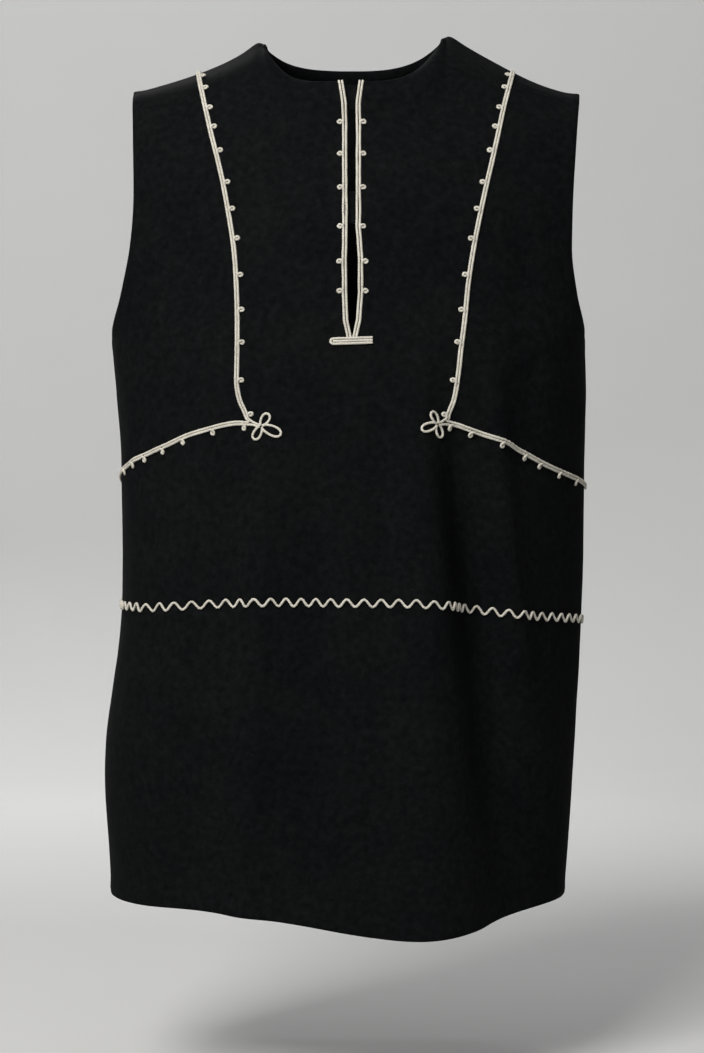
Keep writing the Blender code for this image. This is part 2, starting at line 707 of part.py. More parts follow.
def join(base, others):
    """Boolean union of closed meshes into the first, and the others removed."""
    for other in others:
        union = base.modifiers.new("join", "BOOLEAN")
        union.operation = "UNION"
        union.solver = "EXACT"
        union.object = other
        graph = bpy.context.evaluated_depsgraph_get()
        mesh = bpy.data.meshes.new_from_object(base.evaluated_get(graph))
        base.modifiers.clear()
        base.data = mesh
        bpy.data.objects.remove(other)
    return base


def finish_cord(obj, material):
    obj.data.materials.clear()
    obj.data.materials.append(material)
    obj.data.shade_smooth()
    obj.data.set_sharp_from_angle(angle=SHARP_ANGLE)


def crossing(route, column, values):
    """The route's points where one of its two coordinates takes these values."""
    order = np.argsort(route[:, column])
    other = 1 - column
    found = np.empty((len(values), 2))
    found[:, column] = values
    found[:, other] = np.interp(values, route[order, column], route[order, other])
    return found


def petal(front, knot, heading, length, width):
    """An oval ring of cord that starts at the knot and points along its heading."""
    heading = math.radians(heading)
    ahead = np.array([math.cos(heading), math.sin(heading)])
    aside = np.array([-ahead[1], ahead[0]])
    centre = knot + ahead * (length / 2 + KNOT_START)
    points = []
    for turn in np.linspace(0, 2 * math.pi, PETAL_POINTS + 1)[:-1]:
        x, z = centre + ahead * length / 2 * math.cos(turn) + aside * width / 2 * math.sin(turn)
        points.append(lifted(front.facing(x, z), CORD_GAP + CORD_RADIUS))
    return clear_facets(front, points, CORD_GAP + KNOT_RADIUS, closed=True)


def cross_route(front, side):
    """A cross as distances from the centre line and heights, so that it can follow the cloth to the seam."""
    rows = BOLERO_ROWS[side]
    knots = [(front.distance_of(x, z), z) for x, z in rows["cross"]]
    end_z = rows["cross_end_z"]
    knots.append((SIDES[side] * (front.edge_distance(side, end_z) - SEAM_CLEARANCE), end_z))
    return smooth_route(knots, ROUTE_STEP)


def make_bolero(front, side, material, collection):
    """The pair of cords that outlines one half of the bolero, with its picots and its knot."""
    rows = BOLERO_ROWS[side]
    upright = smooth_route(rows["upright"], ROUTE_STEP)
    cross = cross_route(front, side)
    knot = np.array(rows["knot"])
    loop_offset = -SIDES[side] * PAIR_STEP / 2
    picot_offset = -SIDES[side] * (PAIR_STEP / 2 + PICOT_OUT)

    def cord(name, places):
        return tube(name, lay_cord(front, places, CORD_STEP), CORD_RADIUS, False, collection)

    entry, leave = (knot + np.array(step) * (SIDES[side], 1) for step in (KNOT_ENTRY, KNOT_EXIT))
    down = np.vstack([beside(upright, loop_offset), entry])
    base = cord(f"bolero_loop_cord_{side}", [front.facing(x, z) for x, z in down])
    out = beside(cross, loop_offset)
    pieces = [cord("cross", [front.facing(*leave)] + [front.around(d, z) for d, z in out])]
    for number, (heading, length, width) in enumerate(rows["petals"]):
        ring = petal(front, knot, heading, length, width)
        pieces.append(tube(f"petal{number}", ring, KNOT_RADIUS, True, collection))
    beside_upright = crossing(beside(upright, picot_offset), 1, UPRIGHT_PICOT_Z)
    cross_distances = [front.distance_of(x, rows["knot"][1]) for x in rows["cross_picot_x"]]
    beside_cross = crossing(beside(cross, picot_offset), 0, cross_distances)
    places = [front.facing(x, z) for x, z in beside_upright]
    places += [front.around(d, z) for d, z in beside_cross]
    pieces.append(picots("picots", front, places, collection))
    finish_cord(join(base, pieces), material)

    edge_down = beside(upright, -loop_offset)[:-1]
    edge_out = beside(cross, -loop_offset)[TURN_PLACES:]
    places = [front.facing(x, z) for x, z in np.vstack([edge_down, rows["turn"]])]
    places += [front.around(d, z) for d, z in edge_out]
    finish_cord(cord(f"bolero_edge_cord_{side}", places), material)


def make_slit_cords(front, side, material, collection):
    """The plain cord along the slit's edge and the cord with picots beside it."""
    top = FRONT_NECK[1] - SLIT_CORD_TOP
    bottom = BAR_CENTRE[1] + BAR_HEIGHT / 2 + CORD_GAP
    heights = np.arange(top, bottom, -ROUTE_STEP)

    def places(offset, heights):
        inner = CORD_RADIUS + SLIT_CORD_INSET + offset
        distances = [SIDES[side] * (slit_half_width(side, z) + inner) for z in heights]
        return [front.around(d, z, SLIT_SLOPE_REACH) for d, z in zip(distances, heights)]

    def cord(name, offset):
        points = lay_cord(front, places(offset, [*heights, bottom]), CORD_STEP)
        return tube(name, points, CORD_RADIUS, False, collection)

    finish_cord(cord(f"slit_edge_cord_{side}", 0.0), material)
    base = cord(f"slit_loop_cord_{side}", PAIR_STEP)
    loops = picots("picots", front, places(PAIR_STEP + PICOT_OUT, SLIT_PICOT_Z), collection)
    finish_cord(join(base, [loops]), material)


def make_bar(front, material, collection):
    """The flat bar of cord, three passes high, that closes the foot of the slit."""
    place = front.facing(*BAR_CENTRE, BAR_REACH)
    centre = Vector(lifted(place, BAR_GAP + CORD_RADIUS))
    normal = Vector(place[1])
    across = Vector((1, 0, 0))
    across = (across - normal * across.dot(normal)).normalized()
    up = normal.cross(across)
    turn = Matrix((across, up, normal)).transposed() @ Matrix.Rotation(BAR_TILT, 3, "Z")
    bpy.ops.mesh.primitive_cube_add(size=1)
    bar = bpy.context.active_object
    bar.name = "slit_bar_cord"
    bar.data.name = bar.name
    for other in list(bar.users_collection):
        other.objects.unlink(bar)
    collection.objects.link(bar)
    bar.data.transform(Matrix.Diagonal((BAR_LENGTH * MM, BAR_HEIGHT * MM, 2 * CORD_RADIUS * MM, 1)))
    bar.location = centre * MM
    bar.rotation_mode = "QUATERNION"
    bar.rotation_quaternion = turn.to_quaternion()
    bevel = bar.modifiers.new("rounded", "BEVEL")
    bevel.width = BAR_ROUNDING * MM
    bevel.segments = 2
    bevel.limit_method = "NONE"
    bar.data.materials.append(material)
    bar.data.shade_smooth()


def make_wave(front, material, collection):
    """The wavy cord from side seam to side seam, with a whole number of waves."""
    line = table(WAVE_LINE_COLUMNS, WAVE_LINE_ROWS)
    line_distances = [row["distance"] for row in line]
    line_heights = [row["z"] for row in line]
    start = SEAM_CLEARANCE - front.edge_distance("left", line_heights[0])
    end = front.edge_distance("right", line_heights[-1]) - SEAM_CLEARANCE
    waves = round((end - start) / WAVE_PITCH)
    route = []
    for k in range(waves * WAVE_SAMPLES + 1):
        distance = start + (end - start) * k / (waves * WAVE_SAMPLES)
        swing = math.cos(2 * math.pi * k / WAVE_SAMPLES)
        middle = np.interp(distance, line_distances, line_heights)
        route.append((distance, middle + WAVE_HEIGHT / 2 * swing))
    height = CORD_GAP + CORD_RADIUS
    points = clear_facets(front, [lifted(front.around(d, z), height) for d, z in route], height)
    finish_cord(tube("wave_cord", points, CORD_RADIUS, False, collection), material)


def build():
    clear_scene()
    materials = make_materials()
    vest = make_collection("embroidered_vest")
    wool, cord = materials["black_wool"], materials["ecru_cord"]
    front = Panel("front", FRONT_COLUMNS)
    back = Panel("back", BACK_COLUMNS)
    make_panel(front, "front_panel", wool, vest)
    make_panel(back, "back_panel", wool, vest)
    for row in table(TAB_COLUMNS, TAB_ROWS):
        make_tab(front, row, wool, vest)
    for side in SIDES:
        make_slit_cords(front, side, cord, vest)
        make_bolero(front, side, cord, vest)
    make_bar(front, cord, vest)
    make_wave(front, cord, vest)


build()
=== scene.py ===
"""Looks of the embroidered vest: black wool cloth, ecru cord ornament, studio light and camera.

The cloth follows the same sections and folds as the part's solids, worked out more finely, with
creases, turned edges and seams added. The cords follow the same routes as plied cord with curled
picots. Tables are in millimetres, and MM turns them into Blender's metres. The front faces -Y.
"""

import json
import math
import random

import bmesh
import bpy
import numpy as np
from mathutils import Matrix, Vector, noise
from mathutils.bvhtree import BVHTree
from mathutils.kdtree import KDTree

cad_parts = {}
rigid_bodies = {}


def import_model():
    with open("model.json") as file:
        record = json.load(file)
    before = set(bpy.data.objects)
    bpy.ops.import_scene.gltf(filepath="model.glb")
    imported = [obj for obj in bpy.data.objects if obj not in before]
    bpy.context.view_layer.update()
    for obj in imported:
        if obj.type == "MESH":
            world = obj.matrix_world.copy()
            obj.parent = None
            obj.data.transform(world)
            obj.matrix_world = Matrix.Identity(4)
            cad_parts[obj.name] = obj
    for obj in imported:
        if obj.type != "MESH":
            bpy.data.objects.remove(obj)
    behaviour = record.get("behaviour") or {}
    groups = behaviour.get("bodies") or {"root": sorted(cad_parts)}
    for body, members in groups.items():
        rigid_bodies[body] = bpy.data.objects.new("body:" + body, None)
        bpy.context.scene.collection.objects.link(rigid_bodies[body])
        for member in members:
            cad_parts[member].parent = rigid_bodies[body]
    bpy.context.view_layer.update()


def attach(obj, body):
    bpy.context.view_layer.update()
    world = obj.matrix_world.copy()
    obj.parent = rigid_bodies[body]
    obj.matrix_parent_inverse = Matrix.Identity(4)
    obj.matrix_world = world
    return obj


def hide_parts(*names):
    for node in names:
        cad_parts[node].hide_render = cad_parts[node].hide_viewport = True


MM = 0.001
TINY = 1e-12
BODY = "root"


def table(columns, *rows):
    """Rows of values under named columns."""
    return [dict(zip(columns.split(), row)) for row in rows]


# Camera: the whole of a 704 x 1053 picture, 0.74 mm to a pixel at y = 0
IMAGE_HEIGHT = 1053
PIXEL_MM = 0.74
CAMERA_DISTANCE = 2000.0
CAMERA_Z = -360.0
SENSOR_MM = 36.0

# Form of the cloth: the part's own sections and folds, but with the first two folds softer
SECTIONS = table(
    "name z left_x right_x front_edge_y back_edge_y front_y back_y left_power right_power "
    "back_power round rows_above",
    ("hem", -628, -177, 157, 0, 0, -139, 120, 2.4, 1.9, 2.2, 1.0, 4),
    ("flare", -537, -181, 163.5, 0, 0, -136, 118, 2.6, 1.75, 2.2, 1.0, 5),
    ("wave", -415, -168.7, 170, 0, 0, -130, 114, 3.0, 1.62, 2.2, 1.0, 4),
    ("waist", -325, -168.7, 171.7, 0, 0, -126, 110, 2.8, 1.8, 2.2, 1.0, 3),
    ("bust", -262, -174, 172.4, 0, 0, -122, 107, 2.4, 2.1, 2.2, 1.0, 2),
    ("underarm", -224, -177, 171.4, 0, 0, -117, 105, 2.3, 2.3, 2.3, 1.0, 1),
    ("armhole_turn", -215, -175, 169.5, -25, 26, -116, 105, 2.3, 2.3, 2.3, 0.7, 2),
    ("armhole_low", -192, -168, 163.5, -43, 44, -112, 104, 2.3, 2.3, 2.3, 0.35, 2),
    ("armhole_mid", -158, -160.5, 159, -54, 55, -104, 102, 2.3, 2.3, 2.3, 0.1, 2),
    ("armhole_high", -118, -157.5, 159.8, -57, 58, -92, 98, 2.4, 2.4, 2.4, 0.0, 3),
    ("yoke", -73, -159, 163.5, -44, 46, -75, 86, 2.6, 2.6, 2.6, 0.0, 2),
)
# Crown: a line between the yoke and the top edge that rounds the shoulder off
CROWN_ROWS = 2
CROWN_RISE = (15.0, 8.0)  # at the neck and at the shoulder's tip
CROWN_FORWARD, CROWN_UP = 0.8, 0.6
CROWN_CENTRE_SHARE = 0.1
CROWN_Z, SEAM_Z = -45.0, -15.0
UNDERARM = 5
SLIT_BASE_Z = -228.0
SLIT_DIP_X, SLIT_DIP_Z = 60.0, 30.0
SLIT_SPREAD = 11.0  # how far from the centre line the cloth gives way to the slit
HEM_DROP, HEM_DROP_X, HEM_DROP_SPREAD = 18.0, 45.0, 85.0
SHOULDER_ROWS = table(
    "side neck_x neck_z tip_x tip_z bow bow_power neck_power",
    ("left", -66.5, -1.0, -162.0, -39.0, 0.12, 0.8, 4.6),
    ("right", 68.5, 3.3, 168.7, -40.5, 0.11, 1.6, 3.6),
)
NECK_PLAN_POWER = 2.0
# Each neck point is drawn into a soft hump: what the heights change by, on the way from it
NECK_POINTS = table(
    "distance neckline seam",
    (0, -0.9, -0.9),
    (3, -1.9, 0.6),
    (6, -2.2, 1.7),
    (10, -2.0, 1.6),
    (16, -1.2, 0.8),
    (24, -0.5, 0.3),
    (36, 0.0, 0.0),
    (400, 0.0, 0.0),
)
NECK_HALF_ARC = 66.0
FRONT_NECK, BACK_NECK = (-68.0, -41.0), (58.0, -13.0)
SLIT = table(
    "z left right",
    (SLIT_BASE_Z, 0.0, 0.0),
    (-216, 2.4, 2.5),
    (-196, 3.2, 3.9),
    (-172, 3.3, 3.9),
    (-150, 2.9, 2.4),
    (-75, 3.1, 2.5),
    (-58, 3.8, 2.6),
    (-41, 6.2, 4.6),
)
FOLDS = table(
    "panel top_z top_x mid_z mid_x hem_x mid_width hem_width mid_height hem_height",
    ("front", -215, 44, -415, 52, 60, 41, 48, 13, 13),
    ("front", -225, 62, -415, 90, 128, 32, 46, -16, -17),
    ("front", -200, 96, -340, 106, 134, 18, 22, 6, 0),
    ("front", -240, -72, -400, -98, -114, 30, 40, -7, -8),
    ("front", -250, -50, -420, -66, -74, 18, 24, 4, 5),
    ("front", -280, -26, -370, -28, -30, 20, 22, -3, 0),
    ("back", -150, -70, -420, -86, -96, 40, 52, 7, 10),
    ("back", -170, 0, -420, 4, 8, 44, 56, -6, -9),
    ("back", -150, 74, -420, 88, 100, 38, 50, 8, 11),
)
HEM_LINE_Z = -640.0
FOLD_TOP_WIDTH = 0.55
FOLD_FADE_POWER = 6
COLUMNS = {"front": (24, 52), "back": (24, 42)}  # under the neckline and under the shoulder
ROW_FINENESS = 5
SECTION_SAMPLES, NECK_SAMPLES, ROUTE_SAMPLES = 240, 60, 400

# Small creases: a line down the cloth seen from the front or the back, its half width and its
# depth, which is negative for a trough
CREASES = table(
    "panel top_z top_x mid_x foot_z foot_x width depth",
    ("front", -262, -163, -150, -372, -139, 6, 1.7),
    ("front", -258, -157, -145, -368, -133, 7, -1.6),
    ("front", -376, -140, -150, -530, -168, 6, 1.8),
    ("front", -384, -133, -143, -520, -161, 8, -1.0),
    ("front", -200, 122, 126, -322, 128, 15, -3.0),
    ("front", -296, 104, 112, -470, 124, 9, 2.0),
    ("front", -310, -70, -78, -470, -92, 12, -2.2),
    ("front", -330, 14, 12, -560, 20, 26, 2.4),
    ("front", -450, -18, -26, -636, -34, 22, -1.8),
    ("front", -470, 30, 28, -636, 24, 16, 1.5),
    ("front", -250, 30, 24, -400, 18, 14, -1.2),
    ("front", -120, -128, -120, -230, -108, 16, -1.6),
    ("front", -100, 118, 124, -220, 112, 14, -1.8),
    ("front", -240, -120, -112, -340, -100, 14, 1.4),
    ("front", -520, -128, -136, -630, -142, 16, 2.0),
    ("back", -110, -118, -104, -260, -86, 14, -2.0),
    ("back", -110, 122, 106, -260, 90, 14, -2.0),
    ("back", -240, -30, -24, -420, -18, 20, 1.8),
    ("back", -300, 40, 46, -540, 52, 18, -2.0),
    ("back", -360, -120, -132, -560, -146, 12, 1.8),
    ("back", -350, 124, 134, -560, 142, 12, 1.6),
    ("back", -460, -52, -60, -625, -66, 18, -1.8),
)
# Pull lines that run across the cloth
PULLS = table(
    "panel inner_x inner_z outer_x outer_z width depth",
    ("front", -84, -262, -160, -226, 8, 1.3),
    ("front", 92, -258, 156, -224, 8, 1.2),
    ("front", -58, -118, -140, -96, 10, -1.0),
    ("front", 62, -120, 144, -98, 10, -1.0),
    ("front", -118, -404, -160, -384, 7, 1.4),
    ("front", -112, -432, -158, -446, 7, -1.2),
    ("back", -20, -150, -130, -118, 12, -1.4),
    ("back", 22, -156, 132, -120, 12, -1.4),
    ("back", -96, -300, -160, -262, 9, 1.5),
    ("back", 98, -306, 160, -266, 9, 1.5),
    ("back", -60, -352, 50, -346, 14, -1.2),
    ("back", -40, -392, 64, -398, 12, 1.0),
)
CREASE_END_POWER, CREASE_SHARPNESS = 0.7, 1.6  # lengthwise and across
# How far a crease wanders from its line, in long waves and in short ones
WANDER, WANDER_LENGTH, WANDER_PHASE = 1.75, 46.0, 7.3
SHORT_WANDER, SHORT_WANDER_LENGTH = 0.875, 17.02
PULL_SEED = 3  # of the first pull line's wander
UNDULATIONS = table("length height", (95.0, 1.5), (34.0, 0.45), (13.0, 0.12))
SEAM_FADE = 16.0  # over this distance from a seam the creases die away
SEAM_UNDULATION = 0.35  # share of the undulations that is left at a seam

# Thickness and turned edges
WALL = 2.4
EDGE_RADIUS = 1.2
EDGE_STEPS = 4
# Groove along the seams: its depth, its width, and how far from a free edge it is full
SEAM_GROOVE, SEAM_GROOVE_WIDTH, SEAM_GROOVE_FADE = 0.9, 4.0, 8.0
# Width of the turned-under edges, of the step where they end, and what they add to the wall
TURNING, TURNING_STEP, TURNING_RISE, PRESSED_RISE = 15.0, 2.5, 1.3, 0.8
EDGE_PUFF, EDGE_PUFF_WIDTH = 0.5, 9.0  # along free edges

# Closure tabs behind the slit
TABS = table(
    "name node top_z bottom_z",
    ("tab_top_cloth", "closure_tab_top", -43.0, -62.5),
    ("tab_lower_cloth", "closure_tab_lower", -122.0, -146.0),
)
TAB_HALF_WIDTH, TAB_WALL, TAB_GAP = 12.0, 1.2, 0.5
TAB_CELLS = (24, 20)
TAB_CORNER = 3.0
TAB_REACH = 1.0  # how far beside the slit the cloth is that the tab follows
TAB_SEAM_DEPTH, TAB_SEAM_INSET, TAB_SEAM_WIDTH = 0.25, 2.2, 0.5

# Cord
CORD_RADIUS = 0.93
PAIR_STEP = 1.80
SLIT_PAIR_STEP, SLIT_CORD_SWING, SLIT_SWING_LENGTH = 2.08, 0.3, 13.0
PLIES, PLY_SIDES = 3, 4
PLY_RADIUS = 0.62  # share of the cord's radius
TWIST_LENGTH = 6.4  # one turn of a ply
CORD_STEP = 0.62
CORD_LIFT = 0.05
ROUTE_STEP = 1.5
# How much a cord's thickness varies, and the steps through the noise, along a cord and between cords
CORD_UNEVEN, UNEVEN_STEP, UNEVEN_SEED_STEP = 0.10, 0.13, 3.7
DIRECTION_BLURS = 4
RAY_START_Y, NEAREST_FROM_Y = -500.0, -100.0  # in front of the cloth
PICOT_RADIUS, PICOT_OUT = 1.32, 1.2  # centre line of a curl, and how far its foot stands off the cord
PICOT_LIFT, PICOT_SETTLE = 1.1, 2.6
PICOT_POINTS = 26
PICOT_STAND_POWER = 0.55
PICOT_CLIMB_START, PICOT_CLIMB = 0.5, 0.42  # shares of a curl: where it climbs over its own foot
PICOT_RUN = 1.2  # length of cord line that one curl takes up

BOLERO_ROWS = {
    "left": {
        "upright": (
            (-113.3, -25), (-106.7, -53), (-100.6, -79), (-93.7, -106), (-87.3, -137.5), (-82.8, -166),
            (-80.5, -200), (-80, -234), (-80.3, -258), (-78.4, -271), (-74, -281),
        ),
        "turn": ((-73.3, -285.2), (-71.3, -287.3), (-75.0, -287.5)),
        "knot": (-62.8, -290.2),
        "stem_in": ((-71.6, -285.4), (-68.6, -287.5), (-65.6, -289.0)),
        "stem_out": ((-65.6, -290.7), (-68.3, -289.3), (-71.1, -289.2)),
        "cross": (
            (-71.5, -288.2), (-79.6, -288), (-90, -289.4), (-102, -292.6), (-116.6, -297),
            (-131.4, -303.5), (-143.8, -308.4), (-155, -313), (-163, -318),
        ),
        "cross_end_z": -327.0,
        "cross_picot_x": (-74.7, -97.6, -118.6, -133.1, -147.0, -155.4, -162.5),
        "petals": ((61, 9.6, 5.2), (-24, 14.6, 6.2), (-118, 10.4, 5.0)),
    },
    "right": {
        "upright": (
            (118.3, -25), (110.2, -53.5), (102.6, -86.6), (95.9, -115), (90.7, -137.7), (85.8, -162),
            (81.5, -188.6), (78.8, -214.5), (75.9, -236.3), (73.8, -255.2), (71, -271.2), (67, -281),
        ),
        "turn": ((66.9, -284.6), (65.4, -286.2), (68.4, -286.7)),
        "knot": (58.9, -288.5),
        "stem_in": ((64.8, -284.7), (62.4, -286.7), (60.7, -287.4)),
        "stem_out": ((60.5, -289.3), (62.6, -288.6), (65.2, -288.6)),
        "cross": (
            (63.4, -287.7), (71.6, -288.4), (83.4, -292.3), (96.3, -296.7), (111.4, -302.3),
            (124.9, -309.4), (138.6, -316.2), (155.2, -322.5), (163.8, -325.6),
        ),
        "cross_end_z": -331.0,
        "cross_picot_x": (68.0, 83.8, 105.6, 122.3, 133.6, 148.5, 162.0),
        "petals": ((113, 9.0, 3.9), (202, 11.4, 5.1), (-76, 9.6, 4.1)),
    },
}
PETAL_POINTS = 22
PETAL_START = 0.6  # from the knot to where a petal begins
PETAL_FOOT = 0.6  # half the distance between a petal's two ends at the knot
PETAL_FULLNESS, PETAL_WIDTH_SHARE = 0.32, 0.98
STEM_GAP, TURN_GAP = 1.0, 1.5  # from the knot's cords to where the run to the side seam begins
FIRST_PICOT = 1.0  # from there to the nearest curl
UPRIGHT_PICOT_Z = (-32, -44, -60, -75, -93, -116.5, -136, -157.5, -183.6, -208.5, -231.5, -258, -283)
SLIT_PICOT_Z = (-72, -96, -121, -149.5, -174.6, -195.6)
SLIT_CORD_TOP, SLIT_CORD_INSET, SLIT_CORD_FOOT = 0.6, 0.1, 0.6
SEAM_CLEARANCE = 1.2

WAVE_HEIGHT, WAVE_SAMPLES = 5.1, 16
WAVE_LINE = table(
    "distance z",
    (-250, -416), (-155, -417.4), (-100, -414), (-60, -412.5), (45, -413.5), (75, -415.5), (112, -418.5),
    (135, -421), (165, -424), (245, -428.5),
)
WAVE_PITCH = table(
    "distance pitch",
    (-250, 12.3), (-120, 12.7), (-75, 12.5), (-45, 10.5), (-20, 10.6), (10, 12.2), (50, 12.4),
    (120, 11.6), (250, 12.2),
)
WAVE_UNEVEN = 0.10  # share of its height by which a wave differs from the others
WAVE_NOISE_STEP, WAVE_NOISE_PLACE = 0.9, (2.0, 4.0)

BAR_CENTRE = (-0.5, -230.8)
BAR_LENGTH, BAR_HEIGHT = 31.0, 5.6
BAR_TILT = math.radians(1.8)
BAR_PASSES, BAR_FOLD_POINTS = 3, 12
BAR_CUT, BAR_MIDDLE_CUT = 0.6, 0.5  # how far the passes' cut ends stand in from the bar's end
BAR_MIDDLE_START = 0.9  # share of a pass by which the middle one starts inside the fold
BAR_WOBBLE, BAR_WOBBLE_LENGTH, BAR_LIFT = 0.16, 5.0, 0.35

# Stitches that hold the cords down
STITCH_SPACING, STITCH_RADIUS, STITCH_SIDES, STITCH_POINTS = 5.2, 0.13, 4, 7
STITCH_SLANT, STITCH_WRAP, STITCH_STAND, STITCH_VARIATION = 0.5, 0.15, 0.3, 0.15
STITCH_FIRST, STITCH_LAST = 2.6, 0.5  # from the cord's two ends
NO_TWIST = math.inf
CORD_SEEDS = {"bolero_loop": 11, "bolero_edge": 21, "slit": 31, "wave": 51}
BAR_SEEDS = (41, 42)

SIDES = {"left": -1.0, "right": 1.0}

# Flat sizes that the sheets were cut to, in metres and square metres
CUTS = table(
    "piece width length area rests_on",
    ("front_cloth", 0.50, 0.66, 0.280, "back_cloth"),
    ("back_cloth", 0.47, 0.65, 0.268, "front_cloth"),
    ("tab_top_cloth", 0.024, 0.0195, 0.00046, "front_cloth"),
    ("tab_lower_cloth", 0.024, 0.024, 0.00057, "front_cloth"),
)

# Looks: noises, surfaces, and ramps with the colour at each place
NOISE_COLUMNS = ("Scale", "Detail", "Roughness")
NOISES = {
    "mottle": (210.0, 5.0, 0.6),
    "clouds": (14.0, 3.0, 0.6),
    "nap": (1500.0, 4.0, 0.7),
    "flecks": (620.0, 2.0, 0.5),
    "tone": (130.0, 3.0, 0.6),
    "fibre": (2600.0, 4.0, 0.75),
    "paper": (3.0, 2.0, 0.6),
}
SURFACE_COLUMNS = ("Roughness", "Specular IOR Level", "Sheen Weight", "Sheen Roughness")
SURFACES = {
    "wool": (0.92, 0.02, 0.004, 0.55),
    "cord": (0.82, 0.25, 0.15, 0.4),
    "paper": (0.9, 0.1, 0.0, 0.5),
}
WOOL_TONES = (
    (0.30, (0.0028, 0.0031, 0.0034)),
    (0.52, (0.0045, 0.0049, 0.0053)),
    (0.74, (0.0068, 0.0073, 0.0078)),
)
WOOL_CLOUDS = ((0.3, (0.82, 0.83, 0.86)), (0.7, (1.15, 1.13, 1.08)))
WOOL_FLECKS = ((0.70, (0.0, 0.0, 0.0)), (0.80, (0.010, 0.010, 0.0095)))
WOOL_SHEEN = (0.62, 0.66, 0.74, 1.0)
CORD_TONES = ((0.3, (0.49, 0.465, 0.40)), (0.55, (0.57, 0.545, 0.475)), (0.75, (0.63, 0.605, 0.53)))
THREAD_TONES = ((0.3, (0.51, 0.485, 0.42)), (0.7, (0.62, 0.595, 0.53)))
# Bumps: the noise, the strength, and the depth in metres
WOOL_BUMPS = (("mottle", 0.35, 0.0006), ("nap", 0.5, 0.00022))
CORD_BUMPS = (("fibre", 0.6, 0.00018),)
THREAD_BUMPS = (("fibre", 0.3, 0.00018),)

LIGHTS = table(
    "name x y z aim_x aim_y aim_z width height watts colour",
    ("key", -0.8, -1.85, 1.1, 0.0, 0.0, -0.25, 1.0, 1.0, 66.0, (1.0, 0.985, 0.96)),
    ("fill", 1.7, -2.0, 0.1, 0.0, 0.0, -0.35, 1.4, 1.8, 1.0, (0.94, 0.97, 1.0)),
    ("top", 0.0, -0.2, 1.7, 0.0, 0.0, -0.3, 1.6, 1.2, 7.0, (1.0, 1.0, 1.0)),
    ("wall", -0.5, 1.6, 1.5, -0.3, 4.0, 0.5, 2.4, 0.8, 36.0, (1.0, 1.0, 1.0)),
    ("behind", -0.7, 2.1, 1.2, 0.0, 0.0, -0.3, 1.0, 1.0, 28.0, (1.0, 1.0, 1.0)),
)
WORLD_COLOUR, WORLD_STRENGTH = (0.94, 0.96, 1.0), 0.10
FLOOR_Z, FLOOR_RADIUS, SWEEP_RADIUS, SWEEP_HEIGHT = -0.76, 2.2, 1.8, 2.6
SWEEP_SIDES, SWEEP_STEPS = 96, 14
PAPER_TONES = ((0.3, (0.591, 0.591, 0.586075)), (0.7, (0.60, 0.60, 0.595)))


def column(rows, name):
    return [row[name] for row in rows]


def read(rows, place, value, wanted):
    """A table's value at the wanted places, in straight lines between its rows."""
    return np.interp(wanted, column(rows, place), column(rows, value))


SHOULDERS = {row["side"]: row for row in SHOULDER_ROWS}
SLIT_BASE_ROW = ROW_FINENESS * sum(column(SECTIONS[:UNDERARM], "rows_above"))


# Curves as lists of points


def unit(vectors):
    vectors = np.asarray(vectors, float)
    return vectors / np.linalg.norm(vectors, axis=-1, keepdims=True).clip(TINY)


def along(points):
    steps = np.linalg.norm(np.diff(np.asarray(points, float), axis=0), axis=1)
    return np.concatenate([[0.0], np.cumsum(steps)])


def length_of(points):
    return float(along(points)[-1])


def resample_at(values, stations, wanted):
    """Rows of values, given at the stations, at the wanted places between them."""
    return np.stack([np.interp(wanted, stations, values[:, k]) for k in range(values.shape[1])], axis=-1)


def resample(points, distances):
    return resample_at(np.asarray(points, float), along(points), distances)


def spaced(points, step):
    """The polyline with points evenly spaced at about this step."""
    total = length_of(points)
    return resample(points, np.linspace(0, total, max(2, round(total / step) + 1)))


def smooth_curve(knots, stations, wanted):
    """A cubic through the knots that doesn't swing past them, read at the wanted stations."""
    knots, stations, wanted = (np.asarray(values, float) for values in (knots, stations, wanted))
    rises = np.diff(knots, axis=0) / np.diff(stations)[:, None]
    mean = (knots[2:] - knots[:-2]) / (stations[2:] - stations[:-2])[:, None]
    limit = 3 * np.minimum(abs(rises[1:]), abs(rises[:-1]))
    inside = np.where(rises[1:] * rises[:-1] > 0, np.clip(mean, -limit, limit), 0.0)
    slopes = np.concatenate([rises[:1], inside, rises[-1:]])
    k = np.clip(np.searchsorted(stations, wanted, side="right") - 1, 0, len(stations) - 2)
    span = (stations[k + 1] - stations[k])[:, None]
    t = (wanted - stations[k])[:, None] / span
    starts = (2 * t**3 - 3 * t**2 + 1) * knots[k] + (t**3 - 2 * t**2 + t) * span * slopes[k]
    ends = (3 * t**2 - 2 * t**3) * knots[k + 1] + (t**3 - t**2) * span * slopes[k + 1]
    return starts + ends


def smooth_route(knots, step):
    stations = along(knots)
    return spaced(smooth_curve(knots, stations, np.linspace(0, stations[-1], ROUTE_SAMPLES)), step)


def headings(route):
    return unit(np.gradient(np.asarray(route, float), axis=0))


def beside(route, distance):
    """The route moved sideways on the cloth, to the left of its direction where distance is positive."""
    ahead = headings(route)
    return route + distance * np.column_stack([-ahead[:, 1], ahead[:, 0]])


def smooth_step(share):
    share = np.clip(share, 0.0, 1.0)
    return share * share * (3 - 2 * share)


def fade(distance, width):
    """From 1 smoothly down to 0 over this width."""
    return 1 - smooth_step(distance / width)


# Cloth


